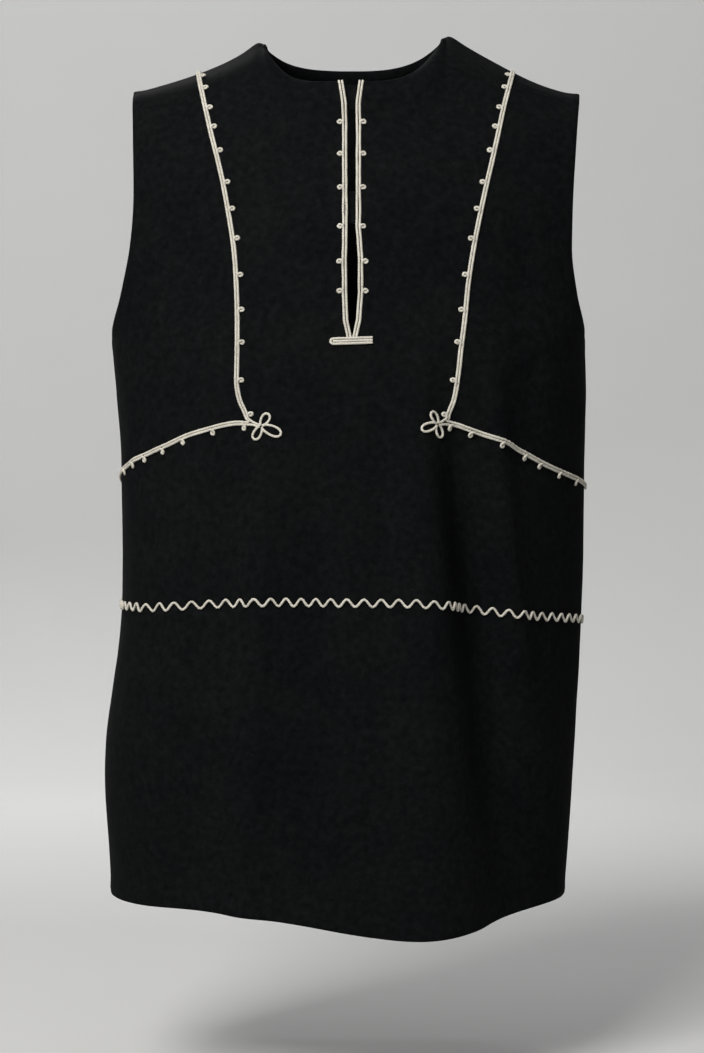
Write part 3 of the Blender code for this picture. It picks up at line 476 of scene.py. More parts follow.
def section_half(section, panel, side):
    """Half of a level section, from the centre line out to the panel's edge."""
    reach = abs(section[f"{side}_x"])
    power = section["back_power" if panel == "back" else f"{side}_power"]
    edge_y = section[f"{panel}_edge_y"]
    middle_y = section[f"{panel}_y"]
    bend = section["round"] / power + (1 - section["round"])
    share = np.sin(np.linspace(0, math.pi / 2, SECTION_SAMPLES))
    bow = (1 - share**power).clip(0) ** bend
    outline = np.column_stack([SIDES[side] * reach * share, edge_y + (middle_y - edge_y) * bow])
    neck_columns, shoulder_columns = COLUMNS[panel]
    inner = NECK_HALF_ARC * np.arange(neck_columns) / neck_columns
    outer = np.linspace(NECK_HALF_ARC, length_of(outline), shoulder_columns + 1)
    flat = resample(outline, np.concatenate([inner, outer]))
    return np.column_stack([flat, np.full(len(flat), section["z"])])


def top_half(panel, side):
    """The panel's top edge: the neckline from the centre out, then the shoulder seam."""
    shoulder = SHOULDERS[side]
    neck_y, neck_z = FRONT_NECK if panel == "front" else BACK_NECK
    out = np.sin(np.linspace(0, math.pi / 2, NECK_SAMPLES))
    neckline = np.column_stack([
        shoulder["neck_x"] * out,
        neck_y * (1 - out**NECK_PLAN_POWER) ** (1 / NECK_PLAN_POWER),
        shoulder["neck_z"] + (neck_z - shoulder["neck_z"]) * (1 - out ** shoulder["neck_power"]),
    ])
    neck_columns, shoulder_columns = COLUMNS[panel]
    neck = resample(neckline, np.linspace(0, length_of(neckline), neck_columns + 1))
    share = np.linspace(0, 1, shoulder_columns + 1)[1:]
    drop = share + shoulder["bow"] * np.sin(math.pi * share ** shoulder["bow_power"])
    seam = np.column_stack([
        shoulder["neck_x"] + (shoulder["tip_x"] - shoulder["neck_x"]) * share,
        np.zeros(len(share)),
        shoulder["neck_z"] + (shoulder["tip_z"] - shoulder["neck_z"]) * drop,
    ])
    edge = np.concatenate([neck, seam])
    from_neck = np.linalg.norm(edge - neck[-1], axis=1)
    changes = smooth_curve(
        [(row["neckline"], row["seam"]) for row in NECK_POINTS],
        column(NECK_POINTS, "distance"),
        from_neck,
    )
    edge[: len(neck), 2] += changes[: len(neck), 0]
    edge[len(neck) :, 2] += changes[len(neck) :, 1]
    return edge


def crown_half(yoke, top, panel):
    """A line half way from the yoke to the top edge, bowed out over the shoulder."""
    neck_columns, shoulder_columns = COLUMNS[panel]
    at_neck, at_tip = CROWN_RISE
    rise = np.concatenate([
        np.linspace(CROWN_CENTRE_SHARE, 1, neck_columns) * at_neck,
        np.linspace(at_neck, at_tip, shoulder_columns + 1),
    ])
    forward = -1.0 if panel == "front" else 1.0
    return (yoke + top) / 2 + rise[:, None] * np.array([0.0, CROWN_FORWARD * forward, CROWN_UP])


def fold_heights(fold, x, z):
    """How far one fold moves the cloth outwards, at arrays of places."""
    heights = (HEM_LINE_Z, fold["mid_z"], fold["top_z"])
    centre = np.interp(z, heights, (fold["hem_x"], fold["mid_x"], fold["top_x"]))
    widths = (fold["hem_width"], fold["mid_width"], FOLD_TOP_WIDTH * fold["mid_width"])
    begun = smooth_step((fold["top_z"] - z) / (fold["top_z"] - fold["mid_z"]))
    height = begun * np.interp(z, heights[:2], (fold["hem_height"], fold["mid_height"]))
    away = (abs(x - centre) / np.interp(z, heights, widths)).clip(0, 1)
    return height * 0.5 * (1 + np.cos(math.pi * away))


def wander(x, z, seed):
    """A slow sideways wander, so that no crease is a ruled line."""
    phase = WANDER_PHASE * seed
    long_waves = WANDER * np.sin(z / WANDER_LENGTH + phase)
    return long_waves + SHORT_WANDER * np.sin((z + x) / SHORT_WANDER_LENGTH + 2 * phase)


def ridge(row, share, away):
    """Heights of one crease, from the share of its length and the distance from its line."""
    lengthwise = np.sin(math.pi * share.clip(0, 1)) ** CREASE_END_POWER
    return row["depth"] * lengthwise * np.exp(-((away / row["width"]) ** 2) * CREASE_SHARPNESS)


def crease_heights(panel, x, z):
    """The small creases' and pull lines' heights at arrays of places."""
    total = np.zeros_like(x)
    for seed, row in enumerate(CREASES):
        if row["panel"] == panel:
            heights = (row["foot_z"], (row["top_z"] + row["foot_z"]) / 2, row["top_z"])
            centre = np.interp(z, heights, (row["foot_x"], row["mid_x"], row["top_x"]))
            share = (row["top_z"] - z) / (row["top_z"] - row["foot_z"])
            total += ridge(row, share, x - centre - wander(x, z, seed))
    for seed, row in enumerate(PULLS, PULL_SEED):
        if row["panel"] == panel:
            share = (x - row["inner_x"]) / (row["outer_x"] - row["inner_x"])
            centre = row["inner_z"] + (row["outer_z"] - row["inner_z"]) * share
            total += ridge(row, share, z - centre - wander(z, x, seed))
    return total


def undulations(points):
    """Gentle unevenness of worn wool cloth, the same at a seam from either panel."""
    flat = points.reshape(-1, 3)
    total = np.zeros(len(flat))
    for row in UNDULATIONS:
        total += row["height"] * np.array([noise.noise(Vector(p / row["length"])) for p in flat])
    return total.reshape(points.shape[:-1])


def side_of(x):
    return "left" if x < 0 else "right"


def level_outward(half):
    """The level directions out of the cloth at a half panel's points."""
    tangent = unit(np.gradient(half[:, :, :2], axis=1))
    outward = np.dstack([tangent[:, :, 1], -tangent[:, :, 0]])
    return outward * np.sign((outward * half[:, :, :2]).sum(axis=2))[:, :, None]


def to_last(points, axis):
    """How far each point of a grid is from the last one on this axis, along the grid."""
    steps = np.linalg.norm(np.diff(points, axis=axis), axis=2)
    distances = np.flip(np.cumsum(np.flip(steps, axis), axis=axis), axis)
    return np.concatenate([distances, np.zeros_like(distances.take([0], axis=axis))], axis=axis)


def add_folds(half, panel):
    """Moves a half panel's points out or in along the level normal, and not at its edge."""
    outward = level_outward(half)
    count = half.shape[1]
    edge_fade = 1 - (np.arange(count) / (count - 1)) ** FOLD_FADE_POWER
    x, z = half[:, :, 0], half[:, :, 2]
    height = sum(fold_heights(fold, x, z) for fold in FOLDS if fold["panel"] == panel) * edge_fade
    moved = half.copy()
    moved[:, :, :2] += outward * height[:, :, None]
    settled = smooth_step(np.minimum(to_last(moved, 1), to_last(moved, 0)) / SEAM_FADE)
    fine = crease_heights(panel, moved[:, :, 0], moved[:, :, 2]) * settled
    fine += undulations(moved) * (SEAM_UNDULATION + (1 - SEAM_UNDULATION) * settled)
    moved[:, :, :2] += outward * fine[:, :, None]
    return moved


def lower_hem(half):
    """The front hem's dip, and the underarm line's dip to the slit's base."""
    hem, underarm = SECTIONS[0]["z"], SECTIONS[UNDERARM]["z"]
    depth = half[:, :, 2]
    hem_share = ((underarm - depth) / (underarm - hem)).clip(0, 1) ** 2
    lowering = HEM_DROP * np.exp(-(((half[:, :, 0] - HEM_DROP_X) / HEM_DROP_SPREAD) ** 2))
    near_slit = np.exp(-((half[:, :, 0] / SLIT_DIP_X) ** 2) - ((depth - underarm) / SLIT_DIP_Z) ** 2)
    half[:, :, 2] += (SLIT_BASE_Z - underarm) * near_slit - hem_share * lowering


def slit_half_width(side, z):
    return read(SLIT, "z", side, z)


def panel_half(panel, side):
    """Rows of points from hem to top edge, each from the centre line out to the panel's edge."""
    knots = [section_half(section, panel, side) for section in SECTIONS]
    top = top_half(panel, side)
    knots = np.array(knots + [crown_half(knots[-1], top, panel), top])
    stations = np.array(column(SECTIONS, "z") + [CROWN_Z, SEAM_Z])
    wanted = [stations[0]]
    for k, rows in enumerate(column(SECTIONS, "rows_above") + [CROWN_ROWS]):
        wanted += list(np.linspace(stations[k], stations[k + 1], ROW_FINENESS * rows + 1)[1:])
    shape = knots.shape
    half = smooth_curve(knots.reshape(shape[0], -1), stations, wanted).reshape(-1, *shape[1:])
    half = add_folds(half, panel)
    if panel == "front":
        lower_hem(half)
        above = half[SLIT_BASE_ROW + 1 :]
        near = (abs(above[:, :, 0]) / SLIT_SPREAD).clip(0, 1)
        above[:, :, 0] += SIDES[side] * slit_half_width(side, above[:, :, 2]) * (1 - near)
    return half


def grid_quads(index, closed=False):
    """Four corners for each cell of a grid of point numbers, closed into a tube if need be."""
    if closed:
        index = np.concatenate([index, index[:, :1]], axis=1)
    corners = [index[:-1, :-1], index[:-1, 1:], index[1:, 1:], index[1:, :-1]]
    return np.stack(corners, axis=-1).reshape(-1, 4)


def mesh_normals(points, quads):
    """Area-weighted normals of a mesh's points."""
    corners = points[quads]
    faces = np.cross(corners[:, 2] - corners[:, 0], corners[:, 3] - corners[:, 1])
    normals = np.zeros_like(points)
    for k in range(4):
        np.add.at(normals, quads[:, k], faces)
    return unit(normals)


class Panel:
    """A cloth panel's outer surface: two half grids that share a centre column below any slit."""

    def __init__(self, name):
        self.name = name
        self.halves = {side: panel_half(name, side) for side in SIDES}
        rows, across, _ = self.halves["left"].shape
        left = np.arange(rows * across).reshape(rows, across)
        right = left + rows * across
        shared = rows if name == "back" else SLIT_BASE_ROW + 1
        right[:shared, 0] = left[:shared, 0]
        used, packed = np.unique(np.concatenate([left.ravel(), right.ravel()]), return_inverse=True)
        packed = packed.reshape(2, rows, across)
        self.index = {"left": packed[0], "right": packed[1]}
        stacked = np.concatenate([self.halves[side].reshape(-1, 3) for side in SIDES])
        self.points = stacked[used]
        self.quads = np.concatenate([self.half_quads(side) for side in SIDES])
        self.normals = self.seam_normals(mesh_normals(self.points, self.quads))
        self.tree = BVHTree.FromPolygons(self.points.tolist(), self.quads.tolist())

    def half_quads(self, side):
        """Four corners a cell, facing out."""
        quads = grid_quads(self.index[side])
        faces_out = 1 if self.name == "front" else -1
        return quads[:, ::-1] if SIDES[side] * faces_out < 0 else quads

    def seams(self):
        """The point numbers along the side and shoulder seams."""
        neck_columns = COLUMNS[self.name][0]
        found = []
        for index in self.index.values():
            found += list(index[: SLIT_BASE_ROW + 1, -1]) + list(index[-1, neck_columns:])
        return found

    def seam_normals(self, normals):
        """Level with the seam's plane along the seams, so that the panels meet flat."""
        seams = self.seams()
        normals[seams, 1] = 0.0
        normals[seams] = unit(normals[seams])
        return normals

    def rim(self):
        """The point numbers round the panel's edge, in order."""
        left, right = self.index["left"], self.index["right"]
        around = list(left[0, ::-1]) + list(right[0, 1:])
        around += list(right[1:, -1]) + list(right[-1, :-1][::-1])
        if self.name == "front":
            around += list(right[SLIT_BASE_ROW : -1, 0][::-1]) + list(left[SLIT_BASE_ROW + 1 :, 0])
        around += list(left[-1, 1:]) + list(left[1:-1, -1][::-1])
        return np.array(around)

    def level(self, side, z):
        """The half panel's points at one height, from the centre line out."""
        half = self.halves[side]
        below = (half[:, :, 2] < z).sum(axis=0).clip(1, half.shape[0] - 1)
        columns = np.arange(half.shape[1])
        low, high = half[below - 1, columns], half[below, columns]
        share = (z - low[:, 2]) / (high[:, 2] - low[:, 2])
        return low + (high - low) * share[:, None]

    def edge_distance(self, side, z):
        line = self.level(side, z)
        return abs(line[0, 0]) + length_of(line)

    def at(self, distance, z):
        """The point of the cloth this far from the centre line and at this height."""
        line = self.level(side_of(distance), z)
        return resample(line, [max(abs(distance) - abs(line[0, 0]), 0.0)])[0]

    def facing(self, x, z):
        """The point where the cloth is seen at x and z from the front."""
        point, _, _, _ = self.tree.ray_cast((x, RAY_START_Y, z), (0.0, 1.0, 0.0))
        if point is None:
            point, _, _, _ = self.tree.find_nearest((x, NEAREST_FROM_Y, z))
        return np.array(point)

    def seen(self, places):
        return [self.facing(x, z) for x, z in places]

    def distance_of(self, x, z):
        """How far the cloth at x and z is from the centre line, along the cloth and with its sign."""
        line = self.level(side_of(x), z)
        return math.copysign(float(np.interp(abs(x), abs(line[:, 0]), abs(line[0, 0]) + along(line))), x)

    def settle(self, points, heights):
        """Points moved to these heights above the cloth, with the cloth's direction out at each."""
        moved = np.array(points, float)
        outs = np.zeros_like(moved)
        for k, point in enumerate(moved):
            near, outs[k], _, _ = self.tree.find_nearest(point)
            gap = (point - np.array(near)) @ outs[k]
            moved[k] = point + outs[k] * (heights[k] - gap)
        for _ in range(DIRECTION_BLURS):
            outs[1:-1] = unit(outs[:-2] + 2 * outs[1:-1] + outs[2:])
        return moved, outs


# Meshes


def make_object(name, points, faces, materials, face_materials=None):
    mesh = bpy.data.meshes.new(name)
    corners = [tuple(int(k) for k in face) for face in faces]
    mesh.from_pydata((np.asarray(points) * MM).tolist(), [], corners)
    for material in materials:
        mesh.materials.append(material)
    if face_materials is not None:
        mesh.polygons.foreach_set("material_index", np.asarray(face_materials, dtype=np.int32))
    mesh.polygons.foreach_set("use_smooth", np.ones(len(mesh.polygons), dtype=bool))
    mesh.update()
    obj = bpy.data.objects.new(name, mesh)
    bpy.context.scene.collection.objects.link(obj)
    work = bmesh.new()
    work.from_mesh(mesh)
    bmesh.ops.recalc_face_normals(work, faces=work.faces)
    work.to_mesh(mesh)
    work.free()
    return obj


def distances_to(points, targets):
    tree = KDTree(len(targets))
    for k, target in enumerate(targets):
        tree.insert(Vector(target), k)
    tree.balance()
    return np.array([tree.find(Vector(point))[2] for point in points])


def rounded_wall(points, normals, quads, rim, outer_drop, thickness):
    """A closed shell: both faces, with a half-round edge that ends where the flat edge was.

    outer_drop lowers the outer face, and thickness is the wall at each point."""
    ahead = unit(points[np.roll(rim, -1)] - points[np.roll(rim, 1)])
    outward = unit(np.cross(ahead, normals[rim]))
    probe = points[np.unique(quads[np.isin(quads, rim[:1]).any(axis=1)])].mean(axis=0)
    if (probe - points[rim[0]]) @ outward[0] > 0:
        outward = -outward
    outer = points - normals * outer_drop[:, None]
    radius = np.minimum(EDGE_RADIUS, thickness[rim] / 2)
    outer[rim] -= outward * radius[:, None]
    inner = outer - normals * thickness[:, None]
    count = len(points)
    verts = [outer, inner]
    loops = [rim]
    middle = (outer[rim] + inner[rim]) / 2
    half = np.linalg.norm(outer[rim] - inner[rim], axis=1) / 2
    for step in range(1, EDGE_STEPS):
        turn = math.pi * step / EDGE_STEPS
        up, out = half * math.cos(turn), radius * math.sin(turn)
        loops.append(np.arange(len(rim)) + sum(len(v) for v in verts))
        verts.append(middle + normals[rim] * up[:, None] + outward * out[:, None])
    loops.append(rim + count)
    faces = [quads, quads[:, ::-1] + count]
    for first, second in zip(loops[:-1], loops[1:]):
        faces.append(np.stack([first, second, np.roll(second, -1), np.roll(first, -1)], axis=-1))
    return np.concatenate(verts), np.concatenate(faces)


def make_cloth(panel, name, material):
    """A panel as wool cloth: turned under at its free edges and pressed open at its seams."""
    seams = set(panel.seams())
    rim = panel.rim()
    free = np.array([k for k in rim if k not in seams])
    to_seam = distances_to(panel.points, panel.points[list(seams)])
    to_edge = distances_to(panel.points, panel.points[free])
    groove = SEAM_GROOVE * fade(to_seam, SEAM_GROOVE_WIDTH) * smooth_step(to_edge / SEAM_GROOVE_FADE)
    puff = EDGE_PUFF * np.exp(-((to_edge - EDGE_PUFF_WIDTH / 2) / (EDGE_PUFF_WIDTH / 2)) ** 2)
    turned, pressed = (
        rise * fade(distance - TURNING, TURNING_STEP) * smooth_step(distance / TURNING_STEP)
        for rise, distance in ((TURNING_RISE, to_edge), (PRESSED_RISE, to_seam))
    )
    thickness = WALL - groove + puff + np.maximum(turned, pressed)
    points, faces = rounded_wall(panel.points, panel.normals, panel.quads, rim, groove - puff, thickness)
    return make_object(name, points, faces, [material])


def make_tab(front, row, material):
    """A small cloth tab with rounded corners, sewn behind the slit."""
    half_size = np.array([TAB_HALF_WIDTH, (row["top_z"] - row["bottom_z"]) / 2])
    across, up = (np.linspace(-1, 1, cells + 1) for cells in TAB_CELLS)
    index = np.arange(len(up) * len(across)).reshape(len(up), len(across))
    grid = np.column_stack([np.tile(across, len(up)), np.repeat(up, len(across))]) * half_size
    over = (abs(grid) - (half_size - TAB_CORNER)).clip(0) / TAB_CORNER
    pull = over.max(axis=1) / np.linalg.norm(over, axis=1).clip(TINY)
    grid -= np.copysign(TAB_CORNER * over * (1 - pull)[:, None], grid)
    grid[:, 1] += (row["top_z"] + row["bottom_z"]) / 2
    flat = []
    for x, z in grid:
        edge = float(slit_half_width(side_of(x), z))
        _, y, height = front.at(math.copysign(max(abs(x), edge + TAB_REACH), x), z)
        flat.append((x, y, height))
    flat = np.array(flat)
    quads = grid_quads(index)
    normals = mesh_normals(flat, quads)
    if normals[:, 1].mean() > 0:
        quads, normals = quads[:, ::-1], -normals
    points = flat - normals * (WALL + TAB_GAP)
    rim = np.concatenate([index[0], index[1:, -1], index[-1, :-1][::-1], index[1:-1, 0][::-1]])
    to_edge = distances_to(points, points[rim])
    drop = TAB_SEAM_DEPTH * np.exp(-(((to_edge - TAB_SEAM_INSET) / TAB_SEAM_WIDTH) ** 2))
    verts, faces = rounded_wall(points, normals, quads, rim, drop, TAB_WALL - drop)
    return make_object(row["name"], verts, faces, [material])


# Cords


def ply_profile():
    """Radius round a cord of three plies, as shares of its radius, from one groove to the next."""
    away = 1 - PLY_RADIUS
    turns = 2 * math.pi / PLIES * (np.arange(PLY_SIDES) / PLY_SIDES - 0.5)
    one_ply = away * np.cos(turns) + np.sqrt((PLY_RADIUS**2 - (away * np.sin(turns)) ** 2).clip(0))
    return np.tile(one_ply, PLIES)


PLY_PROFILE = ply_profile()


def tube_mesh(points, outs, radii, profile, twist_length):
    """A tube along points, its section turned against the cloth's direction and twisted as it goes."""
    ahead = headings(points)
    outs = unit(outs - ahead * (outs * ahead).sum(axis=1, keepdims=True))
    aside = np.cross(ahead, outs)
    sides = len(profile)
    turns = 2 * math.pi * (along(points)[:, None] / twist_length + np.arange(sides)[None, :] / sides)
    reach = radii[:, None] * profile[None, :]
    rings = points[:, None, :] + (
        aside[:, None, :] * (np.cos(turns) * reach)[:, :, None]
        + outs[:, None, :] * (np.sin(turns) * reach)[:, :, None]
    )
    count = len(points)
    index = np.arange(count * sides).reshape(count, sides)
    ends = [index[0, ::-1], index[-1]]
    return rings.reshape(-1, 3), [*grid_quads(index, closed=True), *ends]


def uneven(count, seed):
    """A smooth random factor near 1 along a cord."""
    places = [Vector((k * UNEVEN_STEP, seed * UNEVEN_SEED_STEP, 0.0)) for k in range(count)]
    return 1 + CORD_UNEVEN * np.array([noise.noise(place) for place in places])


def lay_cords(node_name, front, materials, cords):
    """One piece of plied cords with their stitches: each has a route, lifts above the cloth, a seed."""
    tubes = []
    for route, lifts, seed in cords:
        stations = along(route)
        steps = np.linspace(0, stations[-1], max(2, round(stations[-1] / CORD_STEP) + 1))
        lifts = np.interp(steps, stations, np.broadcast_to(lifts, len(stations)))
        radii = CORD_RADIUS * uneven(len(steps), seed)
        points, outs = front.settle(resample(route, steps), radii + lifts + CORD_LIFT)
        tubes.append((0, tube_mesh(points, outs, radii, PLY_PROFILE, TWIST_LENGTH)))
        tubes += [(1, thread) for thread in stitches(points, outs, radii, seed)]
    points, faces, face_materials = [], [], []
    for material, (tube_points, tube_faces) in tubes:
        faces += [face + len(points) for face in tube_faces]
        face_materials += [material] * len(tube_faces)
        points.extend(tube_points)
    return make_object(node_name.replace("cord", "twist"), points, faces, materials, face_materials)


def stitches(points, outs, radii, seed):
    """Fine threads over a cord, slanted, at the spacing that holds it down."""
    stations = along(points)
    ahead = headings(points)
    dice = random.Random(seed)
    turns = np.linspace(-STITCH_WRAP, math.pi + STITCH_WRAP, STITCH_POINTS)[:, None]
    thread_radii = np.full(STITCH_POINTS, STITCH_RADIUS)
    where = STITCH_FIRST
    while where < stations[-1] - STITCH_LAST:
        k = int(np.searchsorted(stations, where))
        aside = np.cross(ahead[k], outs[k])
        reach = radii[k] + STITCH_RADIUS * STITCH_STAND
        round_cord = (aside * np.cos(turns) + outs[k] * np.sin(turns)) * reach
        spokes = round_cord + ahead[k] * STITCH_SLANT * np.cos(turns)
        yield tube_mesh(points[k] + spokes, unit(spokes), thread_radii, np.ones(STITCH_SIDES), NO_TWIST)
        where += STITCH_SPACING * dice.uniform(1 - STITCH_VARIATION, 1 + STITCH_VARIATION)


def with_picots(front, route, stations, side):
    """The route with a curl at each station, on the side given, and the lift that it needs along it.

    A curl leaves the line, goes once round and comes back over its own foot."""
    distance = along(route)
    ahead = headings(route)
    share = np.linspace(0, 1, PICOT_POINTS)
    turn = 2 * math.pi * share
    forwards = PICOT_RADIUS * np.sin(turn)
    stand = PICOT_OUT * np.sin(math.pi * share) ** PICOT_STAND_POWER
    sideways = stand + PICOT_RADIUS * (1 - np.cos(turn))
    climb = PICOT_LIFT * smooth_step((share - PICOT_CLIMB_START) / PICOT_CLIMB)
    pieces, lifts = [], []
    done = 0.0
    for station in sorted(stations):
        start = station - PICOT_RUN / 2
        between = np.arange(done, start, ROUTE_STEP)
        _, normal, _, _ = front.tree.find_nearest(resample(route, [station])[0])
        out = np.array(normal)
        forward = resample_at(ahead, distance, station)
        forward = unit(forward - out * (forward @ out))
        aside = np.cross(out, forward) * side
        line = resample(route, start + PICOT_RUN * share)
        pieces += [resample(route, between), line + np.outer(forwards, forward) + np.outer(sideways, aside)]
        lifts += [bool(lifts) * PICOT_LIFT * fade(between - done, PICOT_SETTLE), climb]
        done = start + PICOT_RUN
    rest = np.append(np.arange(done, distance[-1], ROUTE_STEP), distance[-1])
    pieces.append(resample(route, rest))
    lifts.append(bool(lifts) * PICOT_LIFT * fade(rest - done, PICOT_SETTLE))
    return np.concatenate(pieces), np.concatenate(lifts)


def petal_places(knot, heading, length, width, side):
    """x and z along one petal: out of the knot, round its tip and back, beside its own start."""
    heading = math.radians(heading)
    ahead = np.array([math.cos(heading), math.sin(heading)])
    aside = np.array([-ahead[1], ahead[0]]) * side
    turn = np.linspace(0, 2 * math.pi, PETAL_POINTS)
    forward = PETAL_START + (length - PETAL_START) * (1 - np.cos(turn)) / 2
    foot = PETAL_FOOT * np.sign(math.pi - turn) * ((1 + np.cos(turn)) / 2) ** 2
    fullness = PETAL_WIDTH_SHARE * (1 - PETAL_FULLNESS * np.cos(turn))
    sideways = foot + width / 2 * np.sin(turn) * fullness
    return knot + forward[:, None] * ahead + sideways[:, None] * aside


def beyond(front, line, place, gap):
    """The part of a line along the cloth that lies farther out than a place seen from the front."""
    start = abs(front.distance_of(*place)) + gap
    return [front.at(d, z) for d, z in line[abs(line[:, 0]) > start]]


def bolero_routes(front, side):
    """The cord with picots and the knot, in three stretches, and the plain cord, as 3D routes."""
    rows, sign = BOLERO_ROWS[side], SIDES[side]
    upright = smooth_route(rows["upright"], ROUTE_STEP)
    knots = [(front.distance_of(x, z), z) for x, z in rows["cross"]]
    end_z = rows["cross_end_z"]
    knots.append((sign * (front.edge_distance(side, end_z) - SEAM_CLEARANCE), end_z))
    cross = smooth_route(knots, ROUTE_STEP)
    offset = -sign * PAIR_STEP / 2
    petals = [petal_places(np.array(rows["knot"]), *petal, -sign) for petal in rows["petals"]]
    down = front.seen(np.concatenate([beside(upright, offset), rows["stem_in"]]))
    out = front.seen(rows["stem_out"])
    out += beyond(front, beside(cross, offset), rows["stem_out"][-1], STEM_GAP)
    edge = front.seen(np.concatenate([beside(upright, -offset)[:-1], rows["turn"]]))
    edge += beyond(front, beside(cross, -offset), rows["turn"][-1], TURN_GAP)
    return [np.array(route) for route in (down, front.seen(np.concatenate(petals)), out, edge)]


def stations_at(route, axis, values):
    """Distances along a route where one coordinate takes these values."""
    order = np.argsort(route[:, axis])
    return np.interp(values, route[order, axis], along(route)[order])


def bolero_cords(front, side):
    """The pair of cords on one side: one with picots and the knot, the other plain."""
    sign = SIDES[side]
    down, petals, out, edge = bolero_routes(front, side)
    down_stations = [s for s in stations_at(down, 2, UPRIGHT_PICOT_Z) if s > PICOT_RUN]
    last = length_of(out) - PICOT_RUN
    out_stations = stations_at(out, 0, BOLERO_ROWS[side]["cross_picot_x"])
    out_stations = [s for s in out_stations if FIRST_PICOT < s < last]
    down, down_lift = with_picots(front, down, down_stations, -sign)
    out, out_lift = with_picots(front, out, out_stations, -sign)
    loop = np.concatenate([down, petals, out])
    lifts = np.concatenate([down_lift, np.zeros(len(petals)), out_lift])
    return {
        f"bolero_loop_cord_{side}": [(loop, lifts, CORD_SEEDS["bolero_loop"] + sign)],
        f"bolero_edge_cord_{side}": [(edge, 0.0, CORD_SEEDS["bolero_edge"] + sign)],
    }


def slit_cords(front, side):
    """The plain cord along the slit's edge and the cord with picots beside it."""
    sign = SIDES[side]
    top = FRONT_NECK[1] - SLIT_CORD_TOP
    bottom = BAR_CENTRE[1] + BAR_HEIGHT / 2 - SLIT_CORD_FOOT
    heights = np.append(np.arange(top, bottom, -ROUTE_STEP), bottom)
    cords = {}
    for kind, offset in (("edge", 0.0), ("loop", SLIT_PAIR_STEP)):
        inner = CORD_RADIUS + SLIT_CORD_INSET + offset
        route = []
        for z in heights:
            swing = SLIT_CORD_SWING * noise.noise(Vector((z / SLIT_SWING_LENGTH, offset, sign)))
            route.append(front.at(sign * (float(slit_half_width(side, z)) + inner + swing), z))
        route, lifts = np.array(route), 0.0
        if kind == "loop":
            route, lifts = with_picots(front, route, stations_at(route, 2, SLIT_PICOT_Z), sign)
        cords[f"slit_{kind}_cord_{side}"] = [(route, lifts, CORD_SEEDS["slit"] + 2 * sign + offset)]
    return cords


def bar_cords(front):
    """Three passes of cord across the foot of the slit, folded at the left end and cut at the right."""
    step = BAR_HEIGHT / BAR_PASSES
    left, right = CORD_RADIUS - BAR_LENGTH / 2, BAR_LENGTH / 2
    turns = np.linspace(math.pi / 2, 3 * math.pi / 2, BAR_FOLD_POINTS)
    fold = [(left + step + step * math.cos(t), step * math.sin(t)) for t in turns]
    outer = [(right - BAR_CUT, step)] + fold + [(right - BAR_CUT, -step)]
    inner = [(right - BAR_MIDDLE_CUT, 0.0), (left + step * BAR_MIDDLE_START, 0.0)]
    cords = []
    for seed, line in zip(BAR_SEEDS, (outer, inner)):
        flat = spaced(np.array(line), ROUTE_STEP)
        wobble = [noise.noise(Vector((x / BAR_WOBBLE_LENGTH, y, seed))) for x, y in flat]
        high = flat[:, 1] + BAR_WOBBLE * np.array(wobble)
        x = BAR_CENTRE[0] + flat[:, 0] * math.cos(BAR_TILT) - flat[:, 1] * math.sin(BAR_TILT)
        z = BAR_CENTRE[1] + flat[:, 0] * math.sin(BAR_TILT) + high * math.cos(BAR_TILT)
        cords.append((np.array(front.seen(zip(x, z))), BAR_LIFT, seed))
    return {"slit_bar_cord": cords}


def wave_cords(front):
    """The wavy cord from side seam to side seam."""
    start = SEAM_CLEARANCE - front.edge_distance("left", WAVE_LINE[0]["z"])
    end = front.edge_distance("right", WAVE_LINE[-1]["z"]) - SEAM_CLEARANCE
    places = np.linspace(start, end, ROUTE_SAMPLES)
    pitch = read(WAVE_PITCH, "distance", "pitch", places)
    passed = np.concatenate([[0.0], np.cumsum(np.diff(places) / pitch[1:])])
    waves = round(passed[-1])
    share = np.arange(waves * WAVE_SAMPLES + 1) / WAVE_SAMPLES
    distances = np.interp(share, passed * waves / passed[-1], places)
    middles = read(WAVE_LINE, "distance", "z", distances)
    route = []
    for k, distance, middle in zip(share, distances, middles):
        tall = 1 + WAVE_UNEVEN * noise.noise(Vector((k * WAVE_NOISE_STEP, *WAVE_NOISE_PLACE)))
        route.append(front.at(distance, middle + WAVE_HEIGHT / 2 * tall * math.cos(2 * math.pi * k)))
    return {"wave_cord": [(np.array(route), 0.0, CORD_SEEDS["wave"])]}


# Materials


def node(tree, kind, **settings):
    made = tree.nodes.new(kind)
    for name, value in settings.items():
        if name in made.inputs:
            made.inputs[name].default_value = value
        else:
            setattr(made, name, value)
    return made


def new_material(name, surface):
    """A material with a surface of the table, and where its noises are read."""
    material = bpy.data.materials.new(name)
    material.use_nodes = True
    tree = material.node_tree
    shader = tree.nodes["Principled BSDF"]
    for socket, value in zip(SURFACE_COLUMNS, SURFACES[surface]):
        shader.inputs[socket].default_value = value
    return material, tree, shader, node(tree, "ShaderNodeTexCoord").outputs["Object"]


def noise_of(tree, place, kind):
    made = node(tree, "ShaderNodeTexNoise", **dict(zip(NOISE_COLUMNS, NOISES[kind])))
    tree.links.new(place, made.inputs["Vector"])
    return made.outputs["Fac"]


def mix(tree, blend, first, second):
    made = node(tree, "ShaderNodeMix", data_type="RGBA", blend_type=blend)
    made.inputs["Factor"].default_value = 1.0
    tree.links.new(first, made.inputs["A"])
    tree.links.new(second, made.inputs["B"])
    return made.outputs["Result"]


def ramp(tree, source, stops):
    made = tree.nodes.new("ShaderNodeValToRGB")
    tree.links.new(source, made.inputs["Fac"])
    elements = made.color_ramp.elements
    while len(elements) < len(stops):
        elements.new(0.5)
    for element, (position, colour) in zip(elements, stops):
        element.position = position
        element.color = (*colour, 1.0)
    return made.outputs["Color"]


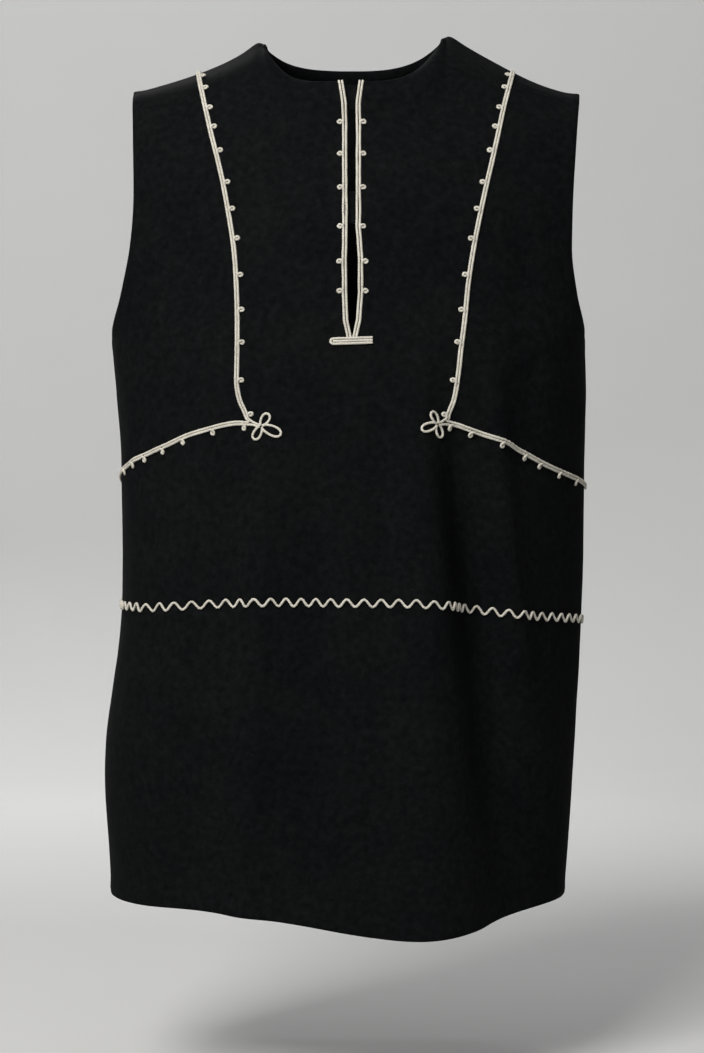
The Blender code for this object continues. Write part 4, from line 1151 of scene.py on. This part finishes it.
def add_bumps(tree, shader, noises, rows):
    """Bump nodes in a chain, one to a row."""
    normal = None
    for kind, strength, depth in rows:
        made = node(tree, "ShaderNodeBump", Strength=strength, Distance=depth)
        tree.links.new(noises[kind], made.inputs["Height"])
        if normal is not None:
            tree.links.new(normal, made.inputs["Normal"])
        normal = made.outputs["Normal"]
    tree.links.new(normal, shader.inputs["Normal"])


def make_wool():
    """Milled black wool: matt, a short nap, faint mottling and a few pale fibres."""
    material, tree, shader, place = new_material("black_wool_melton", "wool")
    noises = {kind: noise_of(tree, place, kind) for kind in ("mottle", "clouds", "nap", "flecks")}
    tones = ramp(tree, noises["mottle"], WOOL_TONES)
    tinted = mix(tree, "MULTIPLY", tones, ramp(tree, noises["clouds"], WOOL_CLOUDS))
    flecked = mix(tree, "ADD", tinted, ramp(tree, noises["flecks"], WOOL_FLECKS))
    tree.links.new(flecked, shader.inputs["Base Color"])
    shader.inputs["Sheen Tint"].default_value = WOOL_SHEEN
    add_bumps(tree, shader, noises, WOOL_BUMPS)
    return material


def make_yarn(name, tones, bumps):
    """Matt ecru yarn: uneven in tone along the cord, with fine fibres."""
    material, tree, shader, place = new_material(name, "cord")
    tone = ramp(tree, noise_of(tree, place, "tone"), tones)
    tree.links.new(tone, shader.inputs["Base Color"])
    add_bumps(tree, shader, {"fibre": noise_of(tree, place, "fibre")}, bumps)
    return material


def make_paper():
    material, tree, shader, place = new_material("pale_paper", "paper")
    tone = ramp(tree, noise_of(tree, place, "paper"), PAPER_TONES)
    tree.links.new(tone, shader.inputs["Base Color"])
    return material


# Studio


def make_sweep(material):
    """Pale round floor that curves up into a wall on every side."""
    turns = np.linspace(0, math.pi / 2, SWEEP_STEPS)
    outs = np.append(FLOOR_RADIUS + SWEEP_RADIUS * np.sin(turns), FLOOR_RADIUS + SWEEP_RADIUS)
    heights = FLOOR_Z + np.append(SWEEP_RADIUS * (1 - np.cos(turns)), SWEEP_HEIGHT)
    around = np.linspace(0, 2 * math.pi, SWEEP_SIDES, endpoint=False)
    points = [(r * math.cos(a), r * math.sin(a), z) for r, z in zip(outs, heights) for a in around]
    index = np.arange(len(points)).reshape(len(heights), SWEEP_SIDES)
    faces = [index[0], *grid_quads(index, closed=True)]
    make_object("floor_sweep", np.array(points) / MM, faces, [material])


def aim(obj, target):
    obj.rotation_euler = (Vector(target) - obj.location).to_track_quat("-Z", "Y").to_euler()


def make_lights():
    for row in LIGHTS:
        lamp = bpy.data.lights.new(row["name"], "AREA")
        lamp.shape = "RECTANGLE"
        lamp.size, lamp.size_y = row["width"], row["height"]
        lamp.energy = row["watts"]
        lamp.color = row["colour"]
        obj = bpy.data.objects.new(row["name"], lamp)
        bpy.context.scene.collection.objects.link(obj)
        obj.location = (row["x"], row["y"], row["z"])
        aim(obj, (row["aim_x"], row["aim_y"], row["aim_z"]))
    world = bpy.context.scene.world or bpy.data.worlds.new("studio")
    bpy.context.scene.world = world
    world.use_nodes = True
    background = world.node_tree.nodes["Background"]
    background.inputs["Color"].default_value = (*WORLD_COLOUR, 1.0)
    background.inputs["Strength"].default_value = WORLD_STRENGTH


def make_camera():
    """Level, square to the front, with the picture's own field of view."""
    camera = bpy.data.cameras.new("front_view")
    camera.sensor_fit = "VERTICAL"
    camera.sensor_height = SENSOR_MM
    camera.lens = SENSOR_MM * CAMERA_DISTANCE / (IMAGE_HEIGHT * PIXEL_MM)
    obj = bpy.data.objects.new("front_view", camera)
    bpy.context.scene.collection.objects.link(obj)
    obj.location = (0.0, -CAMERA_DISTANCE * MM, CAMERA_Z * MM)
    obj.rotation_euler = (math.pi / 2, 0.0, 0.0)
    bpy.context.scene.camera = obj


def build():
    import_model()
    wool = make_wool()
    yarns = [
        make_yarn("ecru_cord", CORD_TONES, CORD_BUMPS),
        make_yarn("ecru_thread", THREAD_TONES, THREAD_BUMPS),
    ]
    front, back = Panel("front"), Panel("back")
    cloths = {
        "front_panel": make_cloth(front, "front_cloth", wool),
        "back_panel": make_cloth(back, "back_cloth", wool),
    }
    for row in TABS:
        cloths[row["node"]] = make_tab(front, row, wool)
    cords = {}
    for side in SIDES:
        cords.update(slit_cords(front, side))
        cords.update(bolero_cords(front, side))
    cords.update(bar_cords(front))
    cords.update(wave_cords(front))
    twists = {name: lay_cords(name, front, yarns, laid) for name, laid in cords.items()}
    for finish, made in (("wool_cloth", cloths), ("cord", twists)):
        for name, piece in made.items():
            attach(piece, BODY)
            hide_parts(name)
    for row in CUTS:
        piece = bpy.data.objects[row["piece"]]
    make_sweep(make_paper())
    make_lights()
    make_camera()
    bpy.context.scene.view_settings.view_transform = "Standard"


build()
